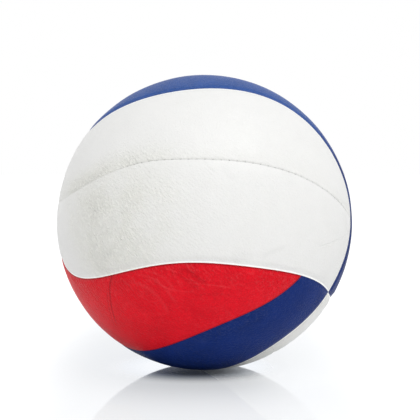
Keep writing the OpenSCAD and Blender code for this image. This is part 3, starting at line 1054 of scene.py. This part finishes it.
def cloth_weave():
    """Plain woven cloth: two sets of yarns cross, each over the other in turn."""
    inputs = {"Colour": (1, 1, 1, 1), "Yarn": 0.6}
    tree, given, result = node_group("cloth_weave", inputs, ("Colour", "Height"))
    parts = add(tree, "SeparateXYZ", {0: millimetres(tree)}).outputs
    turns = maths(tree, "DIVIDE", math.pi, given["Yarn"])
    warp = times(tree, maths(tree, "ADD", parts[0], parts[2]), turns)
    weft = times(tree, maths(tree, "SUBTRACT", parts[1], parts[2]), turns)
    yarns = times(tree, maths(tree, "SINE", warp), maths(tree, "SINE", weft))
    tree.links.new(times(tree, yarns, YARN_HEIGHT), result.inputs["Height"])
    tone = times_plus(tree, yarns, YARN_SHADING, CLOTH_TONE)
    tree.links.new(shaded(tree, given["Colour"], tone), result.inputs["Colour"])
    return tree


# Rubber, per millimetre: how fine its speckle and its bloom are, and where bloom begins and is full
SPECKLE_SCALE = 3.0
BLOOM_SCALE = 0.12
BLOOM_EDGES = (0.4, 0.7)
# Its tone, what speckle adds to it, and the speckle's height
RUBBER_TONE = 0.9
SPECKLE_TONE = 0.2
SPECKLE_HEIGHT = 0.03
# Its roughness, and what bloom adds to that
RUBBER_ROUGHNESS = 0.45
BLOOM_ROUGHNESS = 0.5


def worn_rubber():
    """Moulded rubber: fine speckle, a dusty bloom in patches and a slightly uneven skin."""
    inputs = {"Colour": (1, 1, 1, 1), "Bloom": 0.2}
    tree, given, result = node_group("worn_rubber", inputs, ("Colour", "Height", "Roughness"))
    places = millimetres(tree)
    speckle = noise(tree, places, SPECKLE_SCALE, detail=3.0)
    bloom = ramp(tree, noise(tree, places, BLOOM_SCALE, detail=3.0), *BLOOM_EDGES)
    bloom = times(tree, bloom, given["Bloom"])
    tone = times_plus(tree, speckle, SPECKLE_TONE, RUBBER_TONE)
    tone = maths(tree, "ADD", tone, bloom)
    rough = times_plus(tree, bloom, BLOOM_ROUGHNESS, RUBBER_ROUGHNESS)
    tree.links.new(shaded(tree, given["Colour"], tone), result.inputs["Colour"])
    tree.links.new(times(tree, speckle, SPECKLE_HEIGHT), result.inputs["Height"])
    tree.links.new(rough, result.inputs["Roughness"])
    return tree


def shared_group(make):
    """The node group that a function makes, made once."""
    return bpy.data.node_groups.get(make.__name__) or make()


def empty_material(name):
    """A material with a Principled shader: its tree and that shader."""
    material = bpy.data.materials.new(name)
    material.use_nodes = True
    tree = material.node_tree
    return material, tree, tree.nodes["Principled BSDF"]


def use_group(tree, make, sockets):
    """The outputs of a shared group in a material, with its inputs set."""
    return add(tree, "Group", sockets, node_tree=shared_group(make)).outputs


def bumped(tree, shader, height):
    """Joins a height in millimetres to a shader's normal."""
    bump = add(tree, "Bump", {"Height": height, "Distance": MM, "Strength": 1.0})
    tree.links.new(bump.outputs[0], shader.inputs["Normal"])


# What painted light adds to the tone of the roll along a tight seam: a painted highlight on the
# white, and painted shade, which takes from it, on the red and blue
ROLL_LIGHT = {"white": 0.3, "red": -0.4, "blue": -0.1}
# The painted highlight that a crease with a shade of -1 adds to the colour
FOLD_LIGHT = 0.22


def creased(tree, name, height):
    """A height with one colour's creases in it, and the creases' shade."""
    shade = 0.0
    for fold in FOLDS[name]:
        fold = use_group(tree, fold_line, fold_sockets(*fold))
        height = maths(tree, "ADD", height, fold["Height"])
        shade = maths(tree, "ADD", shade, fold["Shade"])
    return height, shade


def carried(tree, label):
    """A number that the leather carries at each point, called after the socket that it feeds."""
    field = label.lower().replace(" ", "_")
    return add(tree, "Attribute", attribute_name=field).outputs["Fac"]


def leather(name, settings):
    """Coated leather in one colour, with painted shade and light along its seams, and creased where
    the photograph shows.

    A crease with a shade above 0 gets painted shade, and one below 0 a painted highlight. For all
    rays but the eye's the red is painted darker, so that the table gets and reflects less of it than
    the eye sees.
    """
    material, tree, shader = empty_material(f"{name}_leather")
    white = name == "white"
    colour = getattr(settings, name)
    top_lit = settings.faded_blue if name == "blue" else colour
    toward_top_lit = [b - a for a, b in zip(colour, top_lit)]
    grain = {
        # The blue is painted lighter towards the top of the ball, where more light falls
        "Colour": moved(tree, colour, toward_top_lit, carried(tree, "Fade")),
        "Cell": settings.grain_cell / MM,
        "Pebble": settings.pebble,
        "Rumple": carried(tree, "Rumple"),
        "Mottle": settings.mottle if white else settings.colour_mottle,
        "Glint": settings.glint if white else settings.colour_glint,
    }
    grain = use_group(tree, leather_grain, grain)
    # Painted shade and light along the seams
    seam_shaded = {"Colour": grain["Colour"], "Rub": ROLL_LIGHT[name]}
    for label in ("Stitched seam", "Tight seam", "Stitch", "Furrow"):
        seam_shaded[label] = carried(tree, label)
    seam_shaded = use_group(tree, seam_wear, seam_shaded)
    height, shade = creased(tree, name, grain["Height"])
    # Painted shade: for all rays but the eye's the red is darker, which darkens its reflection and
    # bounce on the table
    unseen = maths(tree, "SUBTRACT", 1.0, add(tree, "LightPath").outputs["Is Camera Ray"])
    reflection_shade = settings.bounce_loss * (name == "red")
    shade = times_plus(tree, unseen, reflection_shade, shade)
    dark = maths(tree, "SUBTRACT", 1.0, maths(tree, "MAXIMUM", shade, 0.0))
    light = times(tree, maths(tree, "MINIMUM", shade, 0.0), -FOLD_LIGHT)
    folded = moved(tree, shaded(tree, seam_shaded["Colour"], dark), (1, 1, 1), light)
    tree.links.new(folded, shader.inputs["Base Color"])
    tree.links.new(grain["Roughness"], shader.inputs["Roughness"])
    shader.inputs["Specular IOR Level"].default_value = getattr(settings, f"{name}_sheen")
    bumped(tree, shader, height)
    return material


CLOTH_ROUGHNESS = 0.9


def cloth(name, colour, yarn):
    """Woven cloth in one colour."""
    material, tree, shader = empty_material(name)
    weave = use_group(tree, cloth_weave, {"Colour": (*colour, 1), "Yarn": yarn})
    tree.links.new(weave["Colour"], shader.inputs["Base Color"])
    shader.inputs["Roughness"].default_value = CLOTH_ROUGHNESS
    bumped(tree, shader, weave["Height"])
    return material


def rubber(name, colour, bloom):
    """Rubber in one colour."""
    material, tree, shader = empty_material(name)
    skin = use_group(tree, worn_rubber, {"Colour": (*colour, 1), "Bloom": bloom})
    tree.links.new(skin["Colour"], shader.inputs["Base Color"])
    tree.links.new(skin["Roughness"], shader.inputs["Roughness"])
    bumped(tree, shader, skin["Height"])
    return material


def finish_node(name, material):
    """Gives a construction mesh a finish in place of its plain colour."""
    node = frame["nodes"][name]
    node.data.materials.clear()
    node.data.materials.append(material)


def replace_node(piece, node, material):
    """A rebuilt piece stands for a construction mesh, rides on the ball and takes the finish."""
    piece.data.materials.append(material)
    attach(piece, BODY)
    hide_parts(node)
    finish_node(node, material)


def mm_size(name, description, default):
    """A length property, given in millimetres and kept in metres."""
    return FloatProperty(
        name=name, description=description, default=default * MM, min=0, precision=5, unit="LENGTH"
    )


def amount(name, description, default):
    """A property that is a plain number from 0."""
    return FloatProperty(name=name, description=description, default=default, min=0, soft_max=1)


def tint(name, description, default):
    """A colour property."""
    return FloatVectorProperty(
        name=name, description=description, default=default, min=0, max=1, size=3, subtype="COLOR"
    )


class PanelSettings(bpy.types.PropertyGroup):
    """Shape and finish of the leather panels"""

    lip_gap: mm_size("Lip gap", "From a seam's line to each lip", 0.015)
    roll: mm_size("Roll width", "Width over which the edge rolls in", 0.4)
    roll_depth: mm_size("Roll depth", "How far the lip lies below the roll", 0.04)
    dip: mm_size("Dip", "How far the leather sinks towards a main seam", 0.65)
    dip_width: mm_size("Dip width", "Width over which it sinks", 4.8)
    land: mm_size("Land", "Width of the land between that slope and the seam", 1.0)
    mid_dip: mm_size("Mid dip", "How far it sinks towards a mid seam", 0.35)
    mid_width: mm_size("Mid width", "Width over which it does", 7.0)
    stitched_dip: mm_size("Stitched dip", "How much farther it sinks beside stitches that show", 0.3)
    stitched_width: mm_size("Stitched width", "Width over which it does", 1.1)
    stitch_pitch: mm_size("Stitch pitch", "From one stitch to the next", 5.0)
    stitch_reach: mm_size("Stitch reach", "Half the length that a stitch pulls in", 0.4)
    stitch_open: mm_size("Stitch opening", "How far a stitch pulls the lip open", 0.05)
    stitch_depth: mm_size("Stitch depth", "How far a stitch pulls the lip down", 0.2)
    hidden_stitches: amount("Hidden stitches", "Strength of the stitches in the tight seams", 0.08)
    pucker: mm_size("Pucker", "Height of the puckers beside the stitches", 0.07)
    wrinkle: mm_size("Wrinkle", "Depth of the wrinkles in the face", 0.07)
    grain_cell: mm_size("Grain size", "Width of a pebble of the grain", 1.45)
    pebble: amount("Grain strength", "How much the pebbles stand out", 1.0)
    mottle: amount("Mottle", "How much the white varies", 0.04)
    colour_mottle: amount("Colour mottle", "How much the red and blue vary", 0.3)
    # Painted highlights that the crests of wrinkles and crease lines add
    glint: amount("Glint", "What the crests of wrinkles add to the white", 0.045)
    colour_glint: amount("Colour glint", "What they add to the red and blue", 0.02)
    white_sheen: amount("White sheen", "Strength of the white leather's reflection", 0.4)
    red_sheen: amount("Red sheen", "Strength of the red leather's reflection", 0.09)
    blue_sheen: amount("Blue sheen", "Strength of the blue leather's reflection", 0.03)
    # Painted shade on the red for all rays but the eye's, seen in its reflection and bounce on the
    # table
    bounce_loss: amount("Bounce loss", "What the table's share of the red loses", 0.85)
    white: tint("White", "Colour of the white leather", (0.86, 0.86, 0.85))
    red: tint("Red", "Colour of the red leather", (0.77, 0.006, 0.018))
    blue: tint("Blue", "Colour of the blue leather", (0.010, 0.031, 0.175))
    # Painted light: the blue's lighter colour on the top of the ball
    faded_blue: tint("Top-lit blue", "Its colour on top of the ball", (0.045, 0.105, 0.345))


class ThreadSettings(bpy.types.PropertyGroup):
    """Shape and finish of the seam threads"""

    thread_r: mm_size("Radius", "Radius of a thread", THREAD_D / 2)
    strands: IntProperty(name="Strands", description="Strands of a thread", default=3, min=1)
    strand_depth: amount("Strand depth", "Depth of the grooves between strands", 0.2)
    twist: mm_size("Twist", "Length in which each strand takes the next one's place", 3.0)
    lift: mm_size("Lift", "How far a thread rises at a stitch", 0.35)
    step: mm_size("Step", "Length of one step along a thread", 0.34)
    end_gap: mm_size("End gap", "From a seam's end to the thread's", 0.7)
    sides: IntProperty(name="Sides", description="Points round a thread", default=12, min=5)
    colour: tint("Colour", "Colour of the waxed thread", (0.10, 0.095, 0.09))
    bloom: amount("Bloom", "How dusty the wax is", 0.3)


class InsideSettings(bpy.types.PropertyGroup):
    """Finish of the linings, the bladder and the valve"""

    lining: tint("Lining", "Colour of the lining cloth", (0.72, 0.67, 0.56))
    lining_yarn: mm_size("Lining yarn", "Width of the lining's yarns", 0.7)
    bladder: tint("Bladder", "Colour of the bladder", (0.025, 0.025, 0.027))
    bladder_bloom: amount("Bladder bloom", "How dusty the bladder is", 0.03)
    stem: tint("Stem", "Colour of the valve's stem", (0.05, 0.05, 0.052))
    stem_bloom: amount("Stem bloom", "How dusty the stem is", 0.05)
    plug: tint("Plug", "Colour of the valve's plug", (0.11, 0.105, 0.1))
    plug_bloom: amount("Plug bloom", "How dusty the plug is", 0.1)
    patch: tint("Patch", "Colour of the patch round the valve", (0.6, 0.56, 0.48))
    patch_yarn: mm_size("Patch yarn", "Width of the patch's yarns", 0.5)


class StageSettings(bpy.types.PropertyGroup):
    """Light, table and camera"""

    key_power: FloatProperty(name="Key", description="Power of the lamp above", default=7.6)
    key_side: mm_size("Key side", "Side of the lamp above", 900)
    front_power: FloatProperty(name="Front", description="Power of the lamp in front", default=0.9)
    front_side: mm_size("Front side", "Side of the lamp in front", 900)
    rim_power: FloatProperty(name="Rim", description="Power of the lamp behind", default=0.5)
    rim_side: mm_size("Rim side", "Side of the lamp behind", 400)
    fill: amount("Fill", "Strength of the light from all sides", 0.70)
    dark_front: amount("Dark front", "What the leather reflects from the dark room in front", 0.15)
    gloss_tint: tint("Gloss tint", "Colour of the table's reflection", (0.95, 0.97, 1.0))
    # The glow's strength near the ball, a painted shadow that rises to full farther out
    glow: amount("Glow", "Light from below the table", 0.74)


class BALL_OT_sew_panels(bpy.types.Operator):
    """Rebuilds the eight leather panels with rolled lips, stitches, creases and grain"""

    bl_idname = "ball.sew_panels"
    bl_label = "Sew the panels"

    def execute(self, context):
        settings = context.scene.ball_panels
        finishes = {colour: leather(colour, settings) for colour in FOLDS}
        shapes = panel_shapes(settings.lip_gap / MM)
        places = {kind: seam_places(shape["top"]) for kind, shape in shapes.items()}
        for name, (kind, _) in PANELS.items():
            surface = panel_surface(name, shapes[kind], places[kind], settings)
            panel = mesh_piece(f"{name}_hide", *surface)
            colour = name.split("_")[1]
            replace_node(panel, f"{name}_panel", finishes[colour])
        return {"FINISHED"}


class BALL_OT_lay_threads(bpy.types.Operator):
    """Lays a twisted, waxed thread in each seam"""

    bl_idname = "ball.lay_threads"
    bl_label = "Lay the threads"

    def execute(self, context):
        settings = context.scene.ball_threads
        panels = context.scene.ball_panels
        pitch = panels.stitch_pitch / MM
        wax = rubber("waxed_thread", settings.colour, settings.bloom)
        for name, (line, turn) in THREADS.items():
            dip = panels.dip if name.endswith("seam") else panels.mid_dip
            stitched = panels.stitched_dip * name.endswith("white_mid")
            lip_r = CROWN_R - (panels.roll_depth + dip + stitched) / MM
            surface = thread_surface(line, HALF_TURNS[turn], settings, lip_r, pitch)
            thread = mesh_piece(f"{name}_twist", *surface)
            replace_node(thread, f"{name}_thread", wax)
        return {"FINISHED"}


class BALL_OT_fit_inside(bpy.types.Operator):
    """Gives the cloth linings and the bladder their finish"""

    bl_idname = "ball.fit_inside"
    bl_label = "Fit linings and bladder"

    def execute(self, context):
        settings = context.scene.ball_inside
        canvas = cloth("lining_canvas", settings.lining, settings.lining_yarn / MM)
        for name in PANELS:
            finish_node(f"{name}_lining", canvas)
        butyl = rubber("butyl_rubber", settings.bladder, settings.bladder_bloom)
        finish_node("bladder", butyl)
        return {"FINISHED"}


class BALL_OT_fit_valve(bpy.types.Operator):
    """Cuts the valve's hole through the back white panel and finishes stem, plug and patch"""

    bl_idname = "ball.fit_valve"
    bl_label = "Fit the valve"

    def execute(self, context):
        panel = bpy.data.objects.get("back_white_hide")
        if panel is None:
            raise RuntimeError("sew the panels before the valve is fitted")
        cut_valve_hole(panel)
        settings = context.scene.ball_inside
        hard = rubber("valve_rubber", settings.stem, settings.stem_bloom)
        soft = rubber("plug_rubber", settings.plug, settings.plug_bloom)
        canvas = cloth("patch_canvas", settings.patch, settings.patch_yarn / MM)
        finish_node("valve_stem", hard)
        finish_node("valve_plug", soft)
        finish_node("valve_patch", canvas)
        return {"FINISHED"}


class BALL_OT_set_stage(bpy.types.Operator):
    """Sets the glossy white table, the lamps, the white surroundings and the camera"""

    bl_idname = "ball.set_stage"
    bl_label = "Set the stage"

    def execute(self, context):
        settings = context.scene.ball_stage
        for name, toward in LAMPS.items():
            power, side = getattr(settings, f"{name}_power"), getattr(settings, f"{name}_side")
            lamp(f"{name}_lamp", power, side, toward)
        white_table(settings)
        white_surroundings(context.scene, settings)
        context.scene.camera = photo_camera()
        context.scene.view_settings.view_transform = "Standard"
        return {"FINISHED"}


class BALL_PT_ball(bpy.types.Panel):
    """The ball's settings and its steps, in the 3D view's sidebar"""

    bl_label = "Stitched ball"
    bl_space_type = "VIEW_3D"
    bl_region_type = "UI"
    bl_category = "Ball"

    def draw(self, context):
        for group, operators in STEPS:
            box = self.layout.box()
            settings = getattr(context.scene, group)
            for field in settings.bl_rna.properties.keys():
                if field not in {"rna_type", "name"}:
                    box.prop(settings, field)
            for operator in operators:
                box.operator(operator)


# Sides of the round hole for the valve, how far its cutter reaches past the leather on both faces,
# and the angle from which an edge is sharp
HOLE_SIDES = 96
HOLE_REACH = 1.0
SHARP_ANGLE = 60


def valve_hole():
    """A closed cylinder along the valve, as wide as the hole, in millimetres, and its faces."""
    t = np.linspace(0, 2 * np.pi, HOLE_SIDES, endpoint=False)
    beside = unit(np.cross(VALVE, [0, 0, 1]))
    over = np.cross(VALVE, beside)
    ring = VALVE_HOLE_R * (np.outer(np.cos(t), beside) + np.outer(np.sin(t), over))
    foot, head = VALVE * (BACK_R - HOLE_REACH), VALVE * (BALL_R + HOLE_REACH)
    points = np.concatenate([ring + foot, ring + head])
    rings = np.arange(2 * HOLE_SIDES).reshape(2, HOLE_SIDES)
    return points, [*bands(rings).tolist(), rings[0, ::-1].tolist(), rings[1].tolist()]


def cut_valve_hole(panel):
    """Cuts that cylinder out of a panel and keeps the hole's rim sharp."""
    cutter = mesh_piece("valve_hole", *valve_hole())
    cut = panel.modifiers.new("valve_hole", "BOOLEAN")
    cut.operation = "DIFFERENCE"
    cut.solver = "EXACT"
    cut.object = cutter
    built = panel.evaluated_get(bpy.context.evaluated_depsgraph_get())
    mesh = bpy.data.meshes.new_from_object(built)
    panel.modifiers.clear()
    panel.data = mesh
    mesh.name = panel.name
    mesh.set_sharp_from_angle(angle=math.radians(SHARP_ANGLE))
    bpy.data.objects.remove(cutter)


# The way from the ball to each lamp, and how far off they stand in metres
LAMPS = {"key": (0.30, -0.55, 0.95), "front": (0.25, -1, 0.35), "rim": (-0.75, 0.65, 0.0)}
LAMP_DISTANCE = 1.5


def lamp(name, power, side, toward):
    """A square lamp that shines at the ball from a direction."""
    light = bpy.data.lights.new(name, "AREA")
    light.energy = power
    light.size = side
    holder = bpy.data.objects.new(name, light)
    place = Vector(toward).normalized() * LAMP_DISTANCE
    holder.location = place
    holder.rotation_euler = place.to_track_quat("Z", "Y").to_euler()
    bpy.context.scene.collection.objects.link(holder)
    return holder


# The table, with distances in metres. The dark spot at the ball's foot is longer sideways, so that
# distances from it are shortened that way, and its middle lies left of the ball's.
TABLE_HALF = 6.0
SPOT_SHORTENING = 0.7
SPOT_SHIFT = 0.005
# How much the table mirrors: from what distance to what distance, and from how much to how much
FOOT_MIRROR = (0.022, 0.050, 0.96, 0.26)
FAR_MIRROR = (0.045, 0.125, 0.0, -0.15)
TABLE_ROUGHNESS = 0.05
# How far from the foot, and from the ball's middle sideways, the glow grows to full: its painted
# shadow near the ball ends there
GLOW_EDGES = (0.10, 0.45)
SIDE_GLOW_EDGES = (0.075, 0.16)
# For light that bounces to the ball, the table's white is painted black at a spot with this middle
# and is full beyond these edges, a painted shade on the ball's underside. The eye sees an even,
# darker white instead.
BOUNCE_MIDDLE = (-0.022, 0, CAD_LOW.z)
BOUNCE_EDGES = (0.03, 0.10)
SEEN_WHITE = 0.3
# The painted shadow's tint in the glow's colour, the painted reflection tint of the dark spot, and
# where that tint ends
SHADOW_TINT = (-0.09, -0.02, 0.06)
SPOT_REFLECTION_TINT = (-0.24, -0.15, 0.0)
SPOT_REFLECTION_TINT_EDGES = (0.02, 0.042)


def glossy_white(settings):
    """The table's material: a mirror at the ball's foot that fades outwards, over white.

    For the eye alone it also glows white, weaker near the ball and full farther out, which is a
    painted soft shadow beside the ball and leaves no edge against the white surroundings.
    """
    material, tree, shader = empty_material("white_acrylic")
    tree.nodes.remove(shader)
    places = add(tree, "TexCoord").outputs["Object"]
    parts = add(tree, "SeparateXYZ", {0: places}).outputs
    sideways = times_plus(tree, parts[0], SPOT_SHORTENING, SPOT_SHIFT)
    flat = add(tree, "CombineXYZ", {0: sideways, 1: parts[1]}).outputs[0]
    foot = vector(tree, "LENGTH", flat, result="Value")
    mirror = maths(tree, "ADD", ramp(tree, foot, *FOOT_MIRROR), ramp(tree, foot, *FAR_MIRROR))
    eye = add(tree, "LightPath").outputs["Is Camera Ray"]

    # White that throws light at the ball, painted black at the spot under it, a painted shade on the
    # ball's underside
    away = vector(tree, "DISTANCE", places, BOUNCE_MIDDLE, result="Value")
    bounce = ramp(tree, away, *BOUNCE_EDGES)
    white = add(tree, "Mix", {"Factor": eye, "A": bounce, "B": SEEN_WHITE}).outputs[0]
    white = add(tree, "BsdfDiffuse", {"Color": white}).outputs[0]

    # The glow, which only the eye sees, with a painted shadow near the ball
    beside = ramp(tree, maths(tree, "ABSOLUTE", parts[0]), *SIDE_GLOW_EDGES, settings.glow, 1.0)
    glow = maths(tree, "MAXIMUM", ramp(tree, foot, *GLOW_EDGES, settings.glow, 1.0), beside)
    # Painted tints: cooler in the painted shadow, and bluer at the foot like the ball's reflection
    painted_tint = moved(tree, (1, 1, 1), SHADOW_TINT, maths(tree, "SUBTRACT", 1.0, glow))
    painted_tint = moved(tree, painted_tint, SPOT_REFLECTION_TINT, ramp(tree, foot, *SPOT_REFLECTION_TINT_EDGES, 1.0, 0.0))
    glow = {"Color": painted_tint, "Strength": times(tree, eye, glow)}
    glow = add(tree, "Emission", glow).outputs[0]

    lit_white = add(tree, "AddShader", {0: white, 1: glow}).outputs[0]
    gloss = {"Color": (*settings.gloss_tint, 1), "Roughness": TABLE_ROUGHNESS}
    gloss = add(tree, "BsdfGlossy", gloss).outputs[0]
    whole = add(tree, "MixShader", {0: mirror, 1: lit_white, 2: gloss}).outputs[0]
    tree.links.new(whole, tree.nodes["Material Output"].inputs["Surface"])
    return material


def white_table(settings):
    """A wide glossy table at the ball's foot."""
    mesh = bpy.data.meshes.new("white_table")
    corners = ((-1, -1), (1, -1), (1, 1), (-1, 1))
    places = [(x * TABLE_HALF, y * TABLE_HALF, CAD_LOW.z) for x, y in corners]
    mesh.from_pydata(places, [], [(0, 1, 2, 3)])
    mesh.materials.append(glossy_white(settings))
    table = bpy.data.objects.new("white_table", mesh)
    bpy.context.scene.collection.objects.link(table)
    return table


# In reflections, what height counts against depth, and from where to where the dark room ends
HEIGHT_COUNTS = 0.6
ROOM_EDGES = (-0.5, 0.6)


def white_surroundings(scene, settings):
    """Pure white for the eye, and an even, weaker white that lights the ball. In reflections it is
    white behind and above the ball, and dark in front, where the room is."""
    world = bpy.data.worlds.new("white_tent")
    world.use_nodes = True
    tree = world.node_tree
    background = tree.nodes["Background"]
    path = add(tree, "LightPath").outputs
    eye, gloss = path["Is Camera Ray"], path["Is Glossy Ray"]
    way = add(tree, "SeparateXYZ", {0: add(tree, "TexCoord").outputs["Generated"]}).outputs
    back_and_up = times_plus(tree, way[2], HEIGHT_COUNTS, way[1])
    mirrored = ramp(tree, back_and_up, *ROOM_EDGES, settings.dark_front, 1.0)
    plain = times_plus(tree, eye, 1.0 - settings.fill, settings.fill)
    plain = times(tree, maths(tree, "SUBTRACT", 1.0, gloss), plain)
    strength = times_plus(tree, gloss, mirrored, plain)
    background.inputs["Color"].default_value = (1, 1, 1, 1)
    tree.links.new(strength, background.inputs["Strength"])
    scene.world = world


def photo_camera():
    """The photograph's view: the ball's centre and outline land on the measured pixels."""
    lens = bpy.data.cameras.new("photo_camera")
    lens.sensor_width = SENSOR_MM
    lens.lens = FOCAL_PIXELS / PHOTO_SIDE * SENSOR_MM
    lens.shift_x, lens.shift_y = (PHOTO_SIDE / 2 - BALL_PIXEL) / PHOTO_SIDE * [1, -1]
    lens.clip_start = NEAR_CLIP
    camera = bpy.data.objects.new("photo_camera", lens)
    camera.location = EYE_BACK * EYE_RADII * BALL_R * MM
    camera.rotation_euler = (math.radians(90 - EYE_ELEVATION), 0, 0)
    bpy.context.scene.collection.objects.link(camera)
    return camera


STEPS = (
    ("ball_panels", ("ball.sew_panels",)),
    ("ball_threads", ("ball.lay_threads",)),
    ("ball_inside", ("ball.fit_valve", "ball.fit_inside")),
    ("ball_stage", ("ball.set_stage",)),
)
CLASSES = (
    PanelSettings,
    ThreadSettings,
    InsideSettings,
    StageSettings,
    BALL_OT_sew_panels,
    BALL_OT_lay_threads,
    BALL_OT_fit_inside,
    BALL_OT_fit_valve,
    BALL_OT_set_stage,
    BALL_PT_ball,
)


def register():
    """Makes the settings, the steps and the sidebar panel known to Blender."""
    for each in CLASSES:
        bpy.utils.register_class(each)
    bpy.types.Scene.ball_panels = PointerProperty(type=PanelSettings)
    bpy.types.Scene.ball_threads = PointerProperty(type=ThreadSettings)
    bpy.types.Scene.ball_inside = PointerProperty(type=InsideSettings)
    bpy.types.Scene.ball_stage = PointerProperty(type=StageSettings)


def unregister():
    """Takes them out again."""
    del bpy.types.Scene.ball_stage
    del bpy.types.Scene.ball_inside
    del bpy.types.Scene.ball_threads
    del bpy.types.Scene.ball_panels
    for each in reversed(CLASSES):
        bpy.utils.unregister_class(each)


def main():
    """Builds the ball and its stage."""
    register()
    for _, operators in STEPS:
        for operator in operators:
            group, step = operator.split(".")
            getattr(getattr(bpy.ops, group), step)()


if __name__ == "__main__":
    main()
